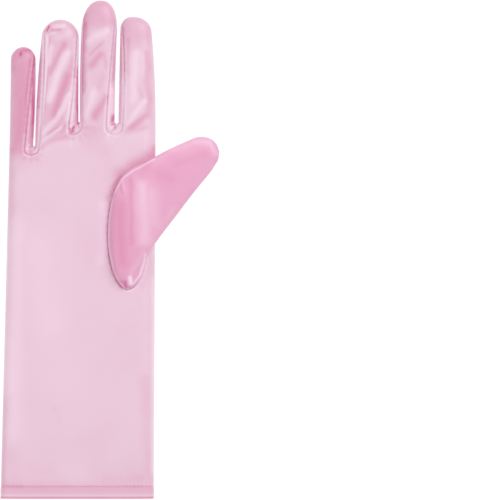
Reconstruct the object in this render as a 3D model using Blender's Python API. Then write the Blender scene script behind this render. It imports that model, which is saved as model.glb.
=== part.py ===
"""Satin evening glove for a right hand, lying flat with its palm up.

Every piece is cloth of one wall thickness. The outer skin is the glove's plan outline, raised above and below
a level line by the distance of each point from that outline, so fingertips, crotches and sides all roll over
alike. The skin is cut along its seams into the real pattern pieces, and each piece is thickened inwards.
X runs across the hand towards the thumb, Y along the hand to the fingertips, Z up through the palm.
"""

import math
from collections import namedtuple

import bpy
import numpy as np

# Driving sizes in metres
GLOVE_LENGTH = 0.300
CUFF_WIDTH = 0.0922
PALM_WIDTH = 0.0880
PALM_SHIFT = 0.0033
LITTLE_FINGER = 0.0596
RING_FINGER = 0.0617
MIDDLE_FINGER = 0.0732
INDEX_FINGER = 0.0634
LITTLE_DROP = 0.0144
FINGER_GAP = 0.0010

WALL = 0.0010
HEM_DEPTH = 0.0078
HEM_WALL = 0.0018
HEM_STEP = 0.0012
SEAM_GAP = 0.0003

BACK_HEIGHT = 0.0050
PALM_HEIGHT = 0.0066
EDGE_ROLL = 0.0074
CROWN_ROLL = 0.0200

GUSSET_REACH = 0.0080
GUSSET_CURVE = 0.0040

THUMB_LENGTH = 0.0734
THUMB_ANGLE = math.radians(41.3)
THUMB_FROM_CROTCH = 0.0675
THUMB_FROM_CENTRE = 0.0307
HOLE_LENGTH = 0.0663
HOLE_WIDTH = 0.0241
THUMB_CLEARANCE = 0.0006

# Shares that shape the section: how much of the rise comes from the wide crown, and how the rise changes
# along the glove
CROWN_SHARE = 0.25
Rise = namedtuple("Rise", "along height")
RISES = (
    Rise(0.00, 0.74),
    Rise(0.12, 0.92),
    Rise(0.40, 1.00),
    Rise(0.70, 1.00),
    Rise(0.80, 0.90),
    Rise(1.00, 0.84),
)

# Fingers from the little finger to the index finger. Left and right give the edges at the root, halfway and
# at the shoulder, and tip its highest point, all as shares of the palm width. Rounding is the length of the
# tip's curve as a share of the finger's width. Splits place the columns of the finger between its two edges.
Finger = namedtuple("Finger", "name length drop left right tip rounding splits")
FINGERS = (
    Finger("little", LITTLE_FINGER, LITTLE_DROP, (0.000, 0.007, 0.009), (0.164, 0.176, 0.178),
           0.096, 0.53, (0.0, 0.09, 0.26, 0.50, 0.76, 1.0)),
    Finger("ring", RING_FINGER, 0.0, (0.176, 0.192, 0.215), (0.479, 0.480, 0.474),
           0.349, 0.50, (0.0, 0.11, 0.29, 0.50, 0.71, 0.89, 1.0)),
    Finger("middle", MIDDLE_FINGER, 0.0, (0.491, 0.493, 0.503), (0.719, 0.728, 0.733),
           0.620, 0.86, (0.0, 0.13, 0.31, 0.50, 0.69, 0.87, 1.0)),
    Finger("index", INDEX_FINGER, 0.0, (0.747, 0.752, 0.760), (1.000, 0.996, 0.969),
           0.849, 0.50, (0.0, 0.14, 0.32, 0.51, 0.68, 0.83, 0.94, 1.0)),
)

# Fourchettes between neighbouring fingers. The insets give how far the seam lies inside the edge of the
# finger on each side, at the root, halfway and at the end, as shares of the edge roll. Shift moves the bottom
# of the seam sideways, as a share of the palm width.
Gusset = namedtuple("Gusset", "name first_inset second_inset shift")
GUSSETS = (
    Gusset("fourchette_little_ring", (0.70, 0.46, 0.13), (0.14, 0.70, 0.20), -0.031),
    Gusset("fourchette_ring_middle", (0.86, 0.24, 0.13), (0.14, 0.24, 0.13), -0.043),
    Gusset("fourchette_middle_index", (0.73, 0.58, 0.16), (0.32, 0.57, 0.14), -0.027),
)

# Soft folds and dents of the palm side. Ends are shares of the palm width across and of the glove length
# along, width and depth are shares of the palm height, and a negative depth is a hollow.
Fold = namedtuple("Fold", "from_across from_along to_across to_along width depth")
FOLDS = (
    Fold(0.17, 0.699, 0.42, 0.727, 0.75, -0.09),
    Fold(0.50, 0.742, 0.80, 0.725, 0.75, -0.08),
    Fold(0.24, 0.765, 0.43, 0.835, 0.55, -0.12),
    Fold(0.25, 0.875, 0.44, 0.920, 0.50, -0.10),
    Fold(0.55, 0.760, 0.68, 0.815, 0.60, -0.12),
    Fold(0.53, 0.855, 0.70, 0.885, 0.50, -0.08),
    Fold(0.79, 0.735, 0.94, 0.790, 0.55, -0.12),
    Fold(0.04, 0.760, 0.15, 0.800, 0.50, -0.08),
    Fold(0.66, 0.420, 0.66, 0.600, 0.70, -0.12),
    Fold(0.27, 0.145, 0.37, 0.205, 0.80, -0.06),
)

# Thumb sections from the hole to the tip. The ends of each section lie along and across the thumb, as shares
# of its length. Lean and rise are the half thickness in plan and upwards, and under is the height of the
# underside above the floor, as shares of the thumb's length.
Section = namedtuple("Section", "top_along top_across low_along low_across lean rise under")
THUMB_SECTIONS = (
    Section(0.350, 0.372, -0.270, -0.325, 0.145, 0.0485, 0.164),
    Section(0.425, 0.368, -0.205, -0.288, 0.120, 0.0640, 0.164),
    Section(0.510, 0.343, -0.103, -0.257, 0.083, 0.0650, 0.160),
    Section(0.599, 0.323, 0.063, -0.216, 0.040, 0.0660, 0.146),
    Section(0.690, 0.303, 0.220, -0.182, 0.023, 0.062, 0.112),
    Section(0.785, 0.278, 0.400, -0.147, 0.010, 0.060, 0.060),
    Section(0.870, 0.252, 0.570, -0.112, 0.000, 0.057, 0.024),
    Section(0.945, 0.217, 0.710, -0.086, 0.000, 0.054, 0.006),
    Section(1.000, 0.168, 0.820, -0.068, 0.000, 0.049, 0.002),
    Section(1.028, 0.115, 0.905, -0.047, 0.000, 0.038, 0.008),
    Section(1.030, 0.070, 0.960, -0.028, 0.000, 0.022, 0.022),
)
THUMB_TIP = (1.012, 0.018, 0.044)
THUMB_FULLNESS = 0.78

# Counts, and the places of the rows across a fourchette's half and a fingertip
FOREARM_ROWS = 5
PALM_ROWS = 11
FINGER_ROWS = 11
CROSS_SHARES = (1.0, 0.3, 0.0)
TIP_ROWS = len(CROSS_SHARES) - 1
CROTCH_STEPS = 3
THUMB_SIDES = 24
OUTLINE_STEPS = 24

# Shares that place the rows
SEAM_END = math.radians(20)
ROW_CROWDING = 1.4
TIP_WEIGHTS = (0.74, 0.90, 1.0)
FOREARM_SHARE = 0.50
LEVELLING_SHARE = 0.30

SATIN_PINK = (0.83, 0.58, 0.70, 1.0)
GUSSET_PINK = (0.74, 0.45, 0.58, 1.0)
THUMB_PINK = (0.82, 0.45, 0.60, 1.0)


def clear_scene():
    for item in list(bpy.data.objects):
        bpy.data.objects.remove(item, do_unlink=True)


def through_three(values, share):
    """The value at a share of the way along a curve through three values at its start, middle and end."""
    start, middle, end = values
    bend = 4 * middle - 2 * start - 2 * end
    return start + (end - start) * share + bend * share * (1 - share) / 2


def crotch_height(finger):
    return GLOVE_LENGTH - MIDDLE_FINGER - finger.drop


def tip_height(finger):
    return crotch_height(finger) + finger.length


def across_palm(share):
    return PALM_SHIFT + (share - 0.5) * PALM_WIDTH


def finger_width(finger):
    return (finger.right[2] - finger.left[2]) * PALM_WIDTH


def shoulder_height(finger):
    return tip_height(finger) - finger.rounding * finger_width(finger)


def root_height(index, side):
    """Height of the finger's edge where it leaves the crotch beside it, or its outer neighbour's crotch."""
    notch = index - 1 if side < 0 else index
    notch = min(max(notch, 0), len(GUSSETS) - 1)
    return notch_height(notch) + FINGER_GAP / 2


def notch_height(notch):
    return min(crotch_height(FINGERS[notch]), crotch_height(FINGERS[notch + 1]))


def side_edge(index, side, share):
    """A point of the finger's edge, from its root at share 0 to the end of its seam on the tip at share 1."""
    finger = FINGERS[index]
    edges = finger.left if side < 0 else finger.right
    shoulder = shoulder_height(finger)
    curve = tip_height(finger) - shoulder
    root = root_height(index, side)
    height = root + (shoulder + curve * math.sin(SEAM_END) - root) * share
    if height <= shoulder:
        return across_palm(through_three(edges, (height - root) / (shoulder - root))), height
    spread = math.sqrt(1 - ((height - shoulder) / curve) ** 2)
    return across_palm(finger.tip + (edges[2] - finger.tip) * spread), height


def tip_edge(index, share):
    """A point of the round tip, from the left seam's end at share 0 to the right seam's end at share 1."""
    finger = FINGERS[index]
    angle = SEAM_END + (math.pi - 2 * SEAM_END) * (1 - share)
    edge = finger.left[2] if math.cos(angle) < 0 else finger.right[2]
    shoulder = shoulder_height(finger)
    x = across_palm(finger.tip + abs(math.cos(angle)) * (edge - finger.tip))
    return x, shoulder + (tip_height(finger) - shoulder) * math.sin(angle)


def crotch_edge(notch, share):
    """A point of the half round crotch from the left finger's root to the right finger's root."""
    left = side_edge(notch, 1, 0)
    right = side_edge(notch + 1, -1, 0)
    angle = math.pi * (1 + share)
    reach = (right[0] - left[0]) / 2
    middle = (left[0] + right[0]) / 2
    return middle + reach * math.cos(angle), left[1] + FINGER_GAP / 2 * math.sin(angle)


def side_seam(index, side, share):
    """A point of the fourchette's seam beside the finger's edge, at the same share as side_edge."""
    notch = index - 1 if side < 0 else index
    gusset = GUSSETS[notch]
    insets = gusset.second_inset if side < 0 else gusset.first_inset
    x, y = side_edge(index, side, share)
    foot = y - (GUSSET_REACH - GUSSET_CURVE) * (1 - share) ** 3
    return x - side * through_three(insets, share) * EDGE_ROLL, foot


def crotch_seam(notch, share):
    """A point of the U that the fourchette's seam makes below the crotch."""
    left = side_seam(notch, 1, 0)
    right = side_seam(notch + 1, -1, 0)
    angle = math.pi * (1 + share)
    drift = GUSSETS[notch].shift * PALM_WIDTH * math.sin(math.pi * share) / 2
    reach = (right[0] - left[0]) / 2
    middle = (left[0] + right[0]) / 2
    return middle + reach * math.cos(angle) + drift, left[1] + GUSSET_CURVE * math.sin(angle)


def cuff_edge(side):
    return side * CUFF_WIDTH / 2, 0.0


def outline_points():
    """The plan outline from the cuff's left corner over the fingertips to its right corner."""
    steps = [step / OUTLINE_STEPS for step in range(OUTLINE_STEPS + 1)]
    points = [cuff_edge(-1)]
    for index in range(len(FINGERS)):
        points += [side_edge(index, -1, share) for share in steps]
        points += [tip_edge(index, share) for share in steps]
        points += [side_edge(index, 1, 1 - share) for share in steps]
        if index < len(GUSSETS):
            points += [crotch_edge(index, share) for share in steps]
    return np.array(points + [cuff_edge(1)])


def edge_distance(plan, outline):
    """The distance of each plan point from the outline."""
    starts, ends = outline[:-1], outline[1:]
    runs = ends - starts
    lengths = np.maximum((runs ** 2).sum(axis=1), 1e-18)
    offsets = plan[:, None, :] - starts[None]
    shares = np.clip((offsets * runs[None]).sum(axis=2) / lengths, 0, 1)
    nearest = starts[None] + shares[..., None] * runs[None]
    return np.sqrt(((plan[:, None, :] - nearest) ** 2).sum(axis=2).min(axis=1))


def roll_over(share):
    """A quarter round from 0 at the edge to 1 where the roll ends."""
    return np.sqrt(1 - (1 - np.clip(share, 0, 1)) ** 2)


def fold_height(plan):
    """The folds' and dents' heights at plan points, with soft ends."""
    height = np.zeros(len(plan))
    for fold in FOLDS:
        start = np.array((across_palm(fold.from_across), fold.from_along * GLOVE_LENGTH))
        end = np.array((across_palm(fold.to_across), fold.to_along * GLOVE_LENGTH))
        run = end - start
        share = np.clip((plan - start) @ run / (run @ run), 0, 1)
        away = np.linalg.norm(plan - start - share[:, None] * run, axis=1)
        width = fold.width * PALM_HEIGHT
        height += fold.depth * PALM_HEIGHT * np.exp(-(away / width) ** 2)
    return height


def palm_level(plan, outline):
    """Height of the palm side's outer skin at plan points inside the outline."""
    away = edge_distance(plan, outline)
    along = plan[:, 1] / GLOVE_LENGTH
    rise = PALM_HEIGHT * np.interp(along, [row.along for row in RISES], [row.height for row in RISES])
    edge = roll_over(away / EDGE_ROLL)
    crown = roll_over(away / CROWN_ROLL)
    return BACK_HEIGHT + rise * ((1 - CROWN_SHARE) * edge + CROWN_SHARE * crown) + fold_height(plan) * edge


def back_level(plan, outline):
    """Height of the back's outer skin, which lies flat on the floor inside its roll."""
    return BACK_HEIGHT * (1 - roll_over(edge_distance(plan, outline) / EDGE_ROLL))


def seam_rows():
    """Shares of the rows along a finger's seam, closer together towards the tip."""
    return [1 - (1 - row / FINGER_ROWS) ** ROW_CROWDING for row in range(FINGER_ROWS + 1)]


def between(first, second, share):
    return tuple(a + (b - a) * share for a, b in zip(first, second))


def finger_side_column(index, side):
    """Plan points of a finger's left or right column, from its root to the tip row."""
    if (index == 0 and side < 0) or (index == len(FINGERS) - 1 and side > 0):
        count = FINGER_ROWS + TIP_ROWS
        return [side_edge(index, side, row / count) for row in range(count + 1)]
    column = [side_seam(index, side, share) for share in seam_rows()]
    end = side_edge(index, side, 1)
    return column + [between(end, column[-1], share) for share in CROSS_SHARES[1:]]


def finger_grid(index):
    """Plan points of a finger's rows and columns, filled in between its two sides, its root and its tip."""
    left = finger_side_column(index, -1)
    right = finger_side_column(index, 1)
    weights = [TIP_WEIGHTS[0] * row / FINGER_ROWS for row in range(FINGER_ROWS)] + list(TIP_WEIGHTS)
    grid = []
    for row, weight in enumerate(weights):
        points = []
        for split in FINGERS[index].splits:
            tip_point = tip_edge(index, split)
            chord = between(left[-1], right[-1], split)
            bulge = (tip_point[0] - chord[0], tip_point[1] - chord[1])
            base = between(left[row], right[row], split)
            points.append((base[0] + weight * bulge[0], base[1] + weight * bulge[1]))
        grid.append(points)
    return grid


def body_heights(root_mean):
    """Heights of the rows from the cuff to just below the fingers."""
    start = HEM_DEPTH + HEM_STEP
    wrist = start + (root_mean - start) * FOREARM_SHARE
    forearm = [start + (wrist - start) * row / FOREARM_ROWS for row in range(FOREARM_ROWS)]
    palm = [wrist + (root_mean - wrist) * row / PALM_ROWS for row in range(PALM_ROWS)]
    return [0.0, HEM_DEPTH] + forearm + palm


def body_grid(base_row):
    """Plan points below the fingers. Rows are level at the cuff and follow the roots' line at the top."""
    base = np.array(base_row)
    root_mean = base[:, 1].mean()
    shares = (base[:, 0] - base[0, 0]) / (base[-1, 0] - base[0, 0])
    rows = []
    for height in body_heights(root_mean):
        level = (height / root_mean - 1 + LEVELLING_SHARE) / LEVELLING_SHARE
        level = min(max(level, 0), 1) ** 2
        heights = height + (base[:, 1] - root_mean) * level
        left = cuff_edge(-1)[0] + (base[0, 0] - cuff_edge(-1)[0]) * heights / base[0, 1]
        right = cuff_edge(1)[0] + (base[-1, 0] - cuff_edge(1)[0]) * heights / base[-1, 1]
        rows.append([(float(l + (r - l) * s), float(y)) for l, r, s, y in zip(left, right, shares, heights)])
    return rows


class Skin:
    """The outer skin's points, each with a plan place and a side: 1 palm, -1 back, 0 on the outline."""

    def __init__(self):
        self.numbers = {}
        self.plan = []
        self.sides = []

    def add(self, key, plan, side):
        if key not in self.numbers:
            self.numbers[key] = len(self.plan)
            self.plan.append(plan)
            self.sides.append(side)
        return self.numbers[key]

    def heights(self, outline):
        plan = np.array(self.plan)
        sides = np.array(self.sides)
        palm = palm_level(plan, outline)
        back = back_level(plan, outline)
        return np.where(sides > 0, palm, np.where(sides < 0, back, BACK_HEIGHT))


def add_trank(skin, grids, columns):
    """Add the palm and back sheets, which meet along the outline, and return their faces."""
    base_row = []
    for index, grid in enumerate(grids):
        base_row += grid[0]
        if index < len(GUSSETS):
            base_row += [crotch_seam(index, step / CROTCH_STEPS) for step in range(1, CROTCH_STEPS)]
    rows = body_grid(base_row) + [base_row]
    last = len(base_row) - 1
    base = len(rows) - 1

    def body_point(side, row, column):
        edge = column in (0, last)
        return skin.add((0 if edge else side, row, column), rows[row][column], 0 if edge else side)

    def finger_point(side, index, row, column):
        outer = columns[index] + column in (0, last)
        tip = row == FINGER_ROWS + TIP_ROWS
        side = 0 if outer or tip else side
        return skin.add((side, base + row, columns[index] + column), grids[index][row][column], side)

    faces = []
    for side in (1, -1):
        for row in range(base):
            for column in range(last):
                corners = [(row, column), (row, column + 1), (row + 1, column + 1), (row + 1, column)]
                faces.append([body_point(side, *corner) for corner in corners][::side])
        for index, grid in enumerate(grids):
            for row in range(len(grid) - 1):
                for column in range(len(grid[0]) - 1):
                    corners = [(row, column), (row, column + 1), (row + 1, column + 1), (row + 1, column)]
                    faces.append([finger_point(side, index, *corner) for corner in corners][::side])
    return faces, base


def add_gusset(skin, notch, columns, base):
    """Add the strip between two fingers and return its faces. It shares its edge points with the trank."""
    left_column = columns[notch] + len(FINGERS[notch].splits) - 1
    right_column = columns[notch + 1]
    stations = []
    for row, share in reversed(list(enumerate(seam_rows()))):
        stations.append((side_edge(notch, 1, share), side_seam(notch, 1, share), base + row, left_column))
    for step in range(1, CROTCH_STEPS):
        share = step / CROTCH_STEPS
        stations.append((crotch_edge(notch, share), crotch_seam(notch, share), base, left_column + step))
    for row, share in enumerate(seam_rows()):
        stations.append((side_edge(notch + 1, -1, share), side_seam(notch + 1, -1, share), base + row,
                         right_column))
    crosses = [(1, share) for share in CROSS_SHARES] + [(-1, share) for share in CROSS_SHARES[-2::-1]]
    ends = (0, len(stations) - 1)
    lines = []
    for number, (edge, seam, row, column) in enumerate(stations):
        line = []
        for cross, (side, share) in enumerate(crosses):
            depth = min(cross, len(crosses) - 1 - cross)
            side = 0 if share == 0 else side
            if number in ends or depth == 0:
                key = (side, row + depth, column)
            else:
                key = ("gusset", notch, number, cross)
            line.append(skin.add(key, between(edge, seam, share), side))
        lines.append(line)
    faces = []
    for first, second in zip(lines, lines[1:]):
        for cross in range(len(crosses) - 1):
            faces.append([first[cross], second[cross], second[cross + 1], first[cross + 1]])
    return faces


def face_normal(points, face):
    corners = points[face]
    return np.cross(corners[2] - corners[0], corners[-1] - corners[1])


def point_normals(points, faces):
    normals = np.zeros_like(points)
    for face in faces:
        normal = face_normal(points, face)
        for corner in face:
            normals[corner] += normal
    return normals


def directed_edges(faces):
    return {(a, b): face for face in faces for a, b in zip(face, face[1:] + face[:1])}


def seam_shifts(points, faces, all_edges):
    """How far each seam point of a piece steps back along the skin, so that neighbours keep a gap."""
    edges = directed_edges(faces)
    inward = {}
    for (start, end), face in edges.items():
        if (end, start) in edges or (end, start) not in all_edges:
            continue
        direction = np.cross(face_normal(points, face), points[end] - points[start])
        direction /= np.linalg.norm(direction)
        inward.setdefault(start, []).append(direction)
        inward.setdefault(end, []).append(direction)
    shifts = np.zeros_like(points)
    for corner, directions in inward.items():
        total = sum(directions)
        square = max(total @ directions[0], 0.5)
        shifts[corner] = total / square * SEAM_GAP / 2
    return shifts


def thick_piece(name, points, normals, walls, faces, shifts, colour):
    """Thicken a patch of skin inwards to a closed solid of its own."""
    used = sorted({corner for face in faces for corner in face})
    place = {corner: number for number, corner in enumerate(used)}
    outer = points[used] + shifts[used]
    inner = outer - normals[used] * walls[used][:, None]
    count = len(used)
    edges = directed_edges(faces)
    solid = [[place[corner] for corner in face] for face in faces]
    solid += [[place[corner] + count for corner in reversed(face)] for face in faces]
    for start, end in edges:
        if (end, start) not in edges:
            a, b = place[start], place[end]
            solid.append([b, a, a + count, b + count])
    return make_object(name, np.vstack((outer, inner)), solid, colour)


def satin_material(name, colour):
    material = bpy.data.materials.new(name)
    material.use_nodes = True
    shader = material.node_tree.nodes["Principled BSDF"]
    shader.inputs["Base Color"].default_value = colour
    shader.inputs["Roughness"].default_value = 0.38
    shader.inputs["Metallic"].default_value = 0.0
    return material


def make_object(name, points, faces, colour):
    mesh = bpy.data.meshes.new(name)
    mesh.from_pydata([tuple(map(float, point)) for point in points], [], faces)
    mesh.materials.append(satin_material(name + "_satin", colour))
    mesh.shade_smooth()
    mesh.set_sharp_from_angle(angle=math.radians(40))
    item = bpy.data.objects.new(name, mesh)
    bpy.context.collection.objects.link(item)
    return item


def hole_centre():
    return THUMB_FROM_CENTRE, GLOVE_LENGTH - MIDDLE_FINGER - THUMB_FROM_CROTCH


def hole_oval(spare):
    """Plan points round the thumb hole, widened by a spare width, from the fingertip end leftwards."""
    x, y = hole_centre()
    points = []
    for step in range(THUMB_SIDES):
        angle = 2 * math.pi * step / THUMB_SIDES
        points.append((x - (HOLE_WIDTH / 2 + spare) * math.sin(angle),
                       y + (HOLE_LENGTH / 2 + spare) * math.cos(angle)))
    return points


def thumb_place(along, across):
    """A plan point given along and across the thumb, as shares of its length."""
    x, y = hole_centre()
    ahead = np.array((math.cos(THUMB_ANGLE), math.sin(THUMB_ANGLE)))
    aside = np.array((-math.sin(THUMB_ANGLE), math.cos(THUMB_ANGLE)))
    return np.array((x, y)) + (ahead * along + aside * across) * THUMB_LENGTH


def inside_outline(plan, outline):
    """Whether each plan point lies inside the outline."""
    starts, ends = outline, np.roll(outline, -1, axis=0)
    inside = np.zeros(len(plan), dtype=bool)
    for (x1, y1), (x2, y2) in zip(starts, ends):
        if y1 == y2:
            continue
        crosses = (y1 > plan[:, 1]) != (y2 > plan[:, 1])
        inside ^= crosses & (plan[:, 0] < x1 + (x2 - x1) * (plan[:, 1] - y1) / (y2 - y1))
    return inside


def above_palm(ring, outline):
    """Lift a ring's points clear of the palm. Its upper points rise as much as the ones below them."""
    lifted = ring.copy()
    inside = inside_outline(ring[:, :2], outline)
    palm = palm_level(ring[:, :2], outline) + THUMB_CLEARANCE
    lift = np.where(inside, np.maximum(palm - ring[:, 2], 0), 0)
    below = lift[-np.arange(len(ring))]
    lifted[:, 2] += np.maximum(lift, below)
    return lifted


def squared(value):
    """A cosine or sine made fuller, so that a flattened section keeps round ends."""
    return math.copysign(abs(value) ** THUMB_FULLNESS, value)


def thumb_ring(section):
    """One section of the thumb: the far end first, then over its top to the near end and back below."""
    top = thumb_place(section.top_along, section.top_across)
    low = thumb_place(section.low_along, section.low_across)
    middle = (top + low) / 2
    half = (top - low) / 2
    back = np.array((-half[1], half[0])) / np.linalg.norm(half)
    lean = section.lean * THUMB_LENGTH
    rise = section.rise * THUMB_LENGTH
    ring = []
    for step in range(THUMB_SIDES):
        angle = 2 * math.pi * step / THUMB_SIDES
        plan = middle + half * squared(math.cos(angle)) + back * lean * math.sin(angle)
        height = section.under * THUMB_LENGTH + rise * (1 + squared(math.sin(angle)))
        ring.append((plan[0], plan[1], height))
    return np.array(ring)


def thumb_piece(outline):
    """The set-in thumb: a tube from inside the hole's edge, over the palm's edge and down to the floor."""
    oval = np.array(hole_oval(0.0))
    palm = palm_level(oval, outline)
    rings = [np.column_stack((oval, palm - WALL / 2)), np.column_stack((oval, palm + THUMB_CLEARANCE))]
    rings += [above_palm(thumb_ring(section), outline) for section in THUMB_SECTIONS]
    along, across, height = THUMB_TIP
    tip = np.append(thumb_place(along, across), height * THUMB_LENGTH)
    points = np.vstack(rings + [tip])
    faces = []
    for ring in range(len(rings) - 1):
        for step in range(THUMB_SIDES):
            ahead = (step + 1) % THUMB_SIDES
            a, b = ring * THUMB_SIDES + step, ring * THUMB_SIDES + ahead
            faces.append([a, a + THUMB_SIDES, b + THUMB_SIDES, b][::-1])
    last = (len(rings) - 1) * THUMB_SIDES
    for step in range(THUMB_SIDES):
        faces.append([last + step, last + (step + 1) % THUMB_SIDES, len(points) - 1])
    normals = point_normals(points, faces)
    normals /= np.linalg.norm(normals, axis=1)[:, None]
    walls = np.full(len(points), WALL)
    return thick_piece("thumb", points, normals, walls, faces, np.zeros_like(points), THUMB_PINK)


def cut_thumb_hole(trank):
    """Cut the oval hole through the palm's wall only."""
    oval = hole_oval(SEAM_GAP)
    low = BACK_HEIGHT
    high = BACK_HEIGHT + 2 * PALM_HEIGHT
    points = [(x, y, low) for x, y in oval] + [(x, y, high) for x, y in oval]
    count = len(oval)
    faces = [list(range(count))[::-1], list(range(count, 2 * count))]
    for step in range(count):
        ahead = (step + 1) % count
        faces.append([step, ahead, ahead + count, step + count])
    cutter = make_object("thumb_hole_cutter", points, faces, SATIN_PINK)
    cutter.hide_render = True
    cutter.display_type = "WIRE"
    cut = trank.modifiers.new("thumb_hole", "BOOLEAN")
    cut.operation = "DIFFERENCE"
    cut.object = cutter
    cut.solver = "EXACT"
    return cutter


def centre_on_floor(pieces, movers):
    """Move everything so that the middle of the pieces' box stands over the origin."""
    points = np.array([vertex.co for piece in pieces for vertex in piece.data.vertices])
    low, high = points.min(axis=0), points.max(axis=0)
    shift = ((low[0] + high[0]) / 2, (low[1] + high[1]) / 2, low[2])
    for item in movers:
        for vertex in item.data.vertices:
            vertex.co = [value - step for value, step in zip(vertex.co, shift)]


def build_glove():
    outline = outline_points()
    grids = [finger_grid(index) for index in range(len(FINGERS))]
    columns = [0]
    for finger in FINGERS[:-1]:
        columns.append(columns[-1] + len(finger.splits) - 1 + CROTCH_STEPS)
    skin = Skin()
    trank_faces, base = add_trank(skin, grids, columns)
    patches = [("trank", trank_faces, SATIN_PINK)]
    for notch, gusset in enumerate(GUSSETS):
        patches.append((gusset.name, add_gusset(skin, notch, columns, base), GUSSET_PINK))
    points = np.column_stack((np.array(skin.plan), skin.heights(outline)))
    all_faces = [face for patch in patches for face in patch[1]]
    all_edges = directed_edges(all_faces)
    normals = point_normals(points, all_faces)
    at_cuff = points[:, 1] == 0
    normals[at_cuff, 1] = 0
    normals /= np.linalg.norm(normals, axis=1)[:, None]
    walls = np.where(points[:, 1] <= HEM_DEPTH, HEM_WALL, WALL)
    pieces = []
    for name, faces, colour in patches:
        shifts = seam_shifts(points, faces, all_edges)
        pieces.append(thick_piece(name, points, normals, walls, faces, shifts, colour))
    pieces.append(thumb_piece(outline))
    cutter = cut_thumb_hole(pieces[0])
    centre_on_floor(pieces, pieces + [cutter])


clear_scene()
build_glove()
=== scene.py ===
"""Looks of the satin glove: cloth pieces as finely modelled shells, hem stitches, floor, lights and camera.

Sizes are those of the solids in the frame. The finger edges and the thumb's end follow the picture more
closely, and lie up to about a millimetre beside the solids' own. Folds, dents and the painted highlights and
shade of the satin are placed by the picture's pixels, in a picture 490 wide and 500 high, where the glove's
own length is 498 pixels.
"""

import math
from collections import namedtuple

import bpy
import numpy as np
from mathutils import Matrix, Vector, kdtree, noise


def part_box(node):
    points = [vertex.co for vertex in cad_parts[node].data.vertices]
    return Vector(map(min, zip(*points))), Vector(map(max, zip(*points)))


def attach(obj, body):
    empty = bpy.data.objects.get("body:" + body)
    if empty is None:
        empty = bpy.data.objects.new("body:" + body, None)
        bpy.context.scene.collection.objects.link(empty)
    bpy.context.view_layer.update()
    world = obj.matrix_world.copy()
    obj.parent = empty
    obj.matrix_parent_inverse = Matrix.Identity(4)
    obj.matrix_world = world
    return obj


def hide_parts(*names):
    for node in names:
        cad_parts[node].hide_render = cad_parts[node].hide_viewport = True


# Sizes of the real glove in metres
GLOVE_LENGTH = 0.300
CUFF_WIDTH = 0.0922
PALM_WIDTH = 0.0880
PALM_SHIFT = 0.0033
LITTLE_FINGER = 0.0596
RING_FINGER = 0.0617
MIDDLE_FINGER = 0.0732
INDEX_FINGER = 0.0634
LITTLE_DROP = 0.0144
FINGER_GAP = 0.0010
CLOTH = 0.0010
HEM_DEPTH = 0.0078
HEM_CLOTH = 0.0018
SEAM_GAP = 0.00008
BACK_HEIGHT = 0.0050
PALM_HEIGHT = 0.0066
EDGE_ROLL = 0.0074
CROWN_ROLL = 0.0200
CROWN_SHARE = 0.25
GUSSET_REACH = 0.0080
GUSSET_CURVE = 0.0040
THUMB_LENGTH = 0.0734
THUMB_ANGLE = math.radians(41.3)
THUMB_FROM_CROTCH = 0.0675
THUMB_FROM_CENTRE = 0.0307
HOLE_LENGTH = 0.0663
HOLE_WIDTH = 0.0241
THUMB_CLEARANCE = 0.0005

# The picture's own measures
PIXEL = GLOVE_LENGTH / 498
PICTURE_WIDTH = 490
PICTURE_HEIGHT = 500
CUFF_LEFT_X = 0.6
CUFF_Y = 498.5

# Heights of the palm side along the glove, as shares of the glove's length and of the palm height
RISE_ALONG = (0.00, 0.12, 0.40, 0.70, 0.80, 1.00)
RISE_SHARES = (0.74, 0.92, 1.00, 1.00, 0.90, 0.84)

# Fingers: each edge at the root, where it is drawn towards on its way and at the shoulder, and the tip's
# place, as shares of the palm width. Rounding is the tip's height as a share of the finger's width. Fullness
# is how square the tip's left and right halves are, where 2 is round.
Finger = namedtuple("Finger", "name length drop left right tip rounding fullness columns")
FINGERS = (
    Finger("little", LITTLE_FINGER, LITTLE_DROP, (0.000, 0.007, 0.009), (0.161, 0.180, 0.179),
           0.096, 0.53, (2.0, 2.0), 20),
    Finger("ring", RING_FINGER, 0.0, (0.176, 0.181, 0.219), (0.471, 0.470, 0.474),
           0.349, 0.50, (2.0, 2.0), 30),
    Finger("middle", MIDDLE_FINGER, 0.0, (0.483, 0.477, 0.493), (0.719, 0.720, 0.736),
           0.620, 0.86, (2.1, 2.5), 24),
    Finger("index", INDEX_FINGER, 0.0, (0.746, 0.751, 0.758), (1.000, 1.000, 0.973),
           0.849, 0.50, (2.5, 2.0), 28),
)

# Fourchettes: how far the seam lies inside each finger's edge at the root, on its way and at its end, as
# shares of the edge roll, how far the seam's lowest place lies aside, as a share of the palm width, how deep
# it lies, as a share of the usual depth, and how strongly each finger's seam shows
Gusset = namedtuple("Gusset", "name first_inset second_inset shift depth first_seam second_seam")
GUSSETS = (
    Gusset("fourchette_little_ring", (0.66, 0.50, 0.13), (0.26, 0.68, 0.20), -0.022, 0.74, 0.5, 0.8),
    Gusset("fourchette_ring_middle", (0.77, 0.15, 0.12), (0.14, 0.24, 0.13), -0.043, 1.00, 0.8, 0.3),
    Gusset("fourchette_middle_index", (0.66, 0.41, 0.16), (0.32, 0.57, 0.14), -0.002, 1.00, 0.6, 0.5),
)

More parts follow.
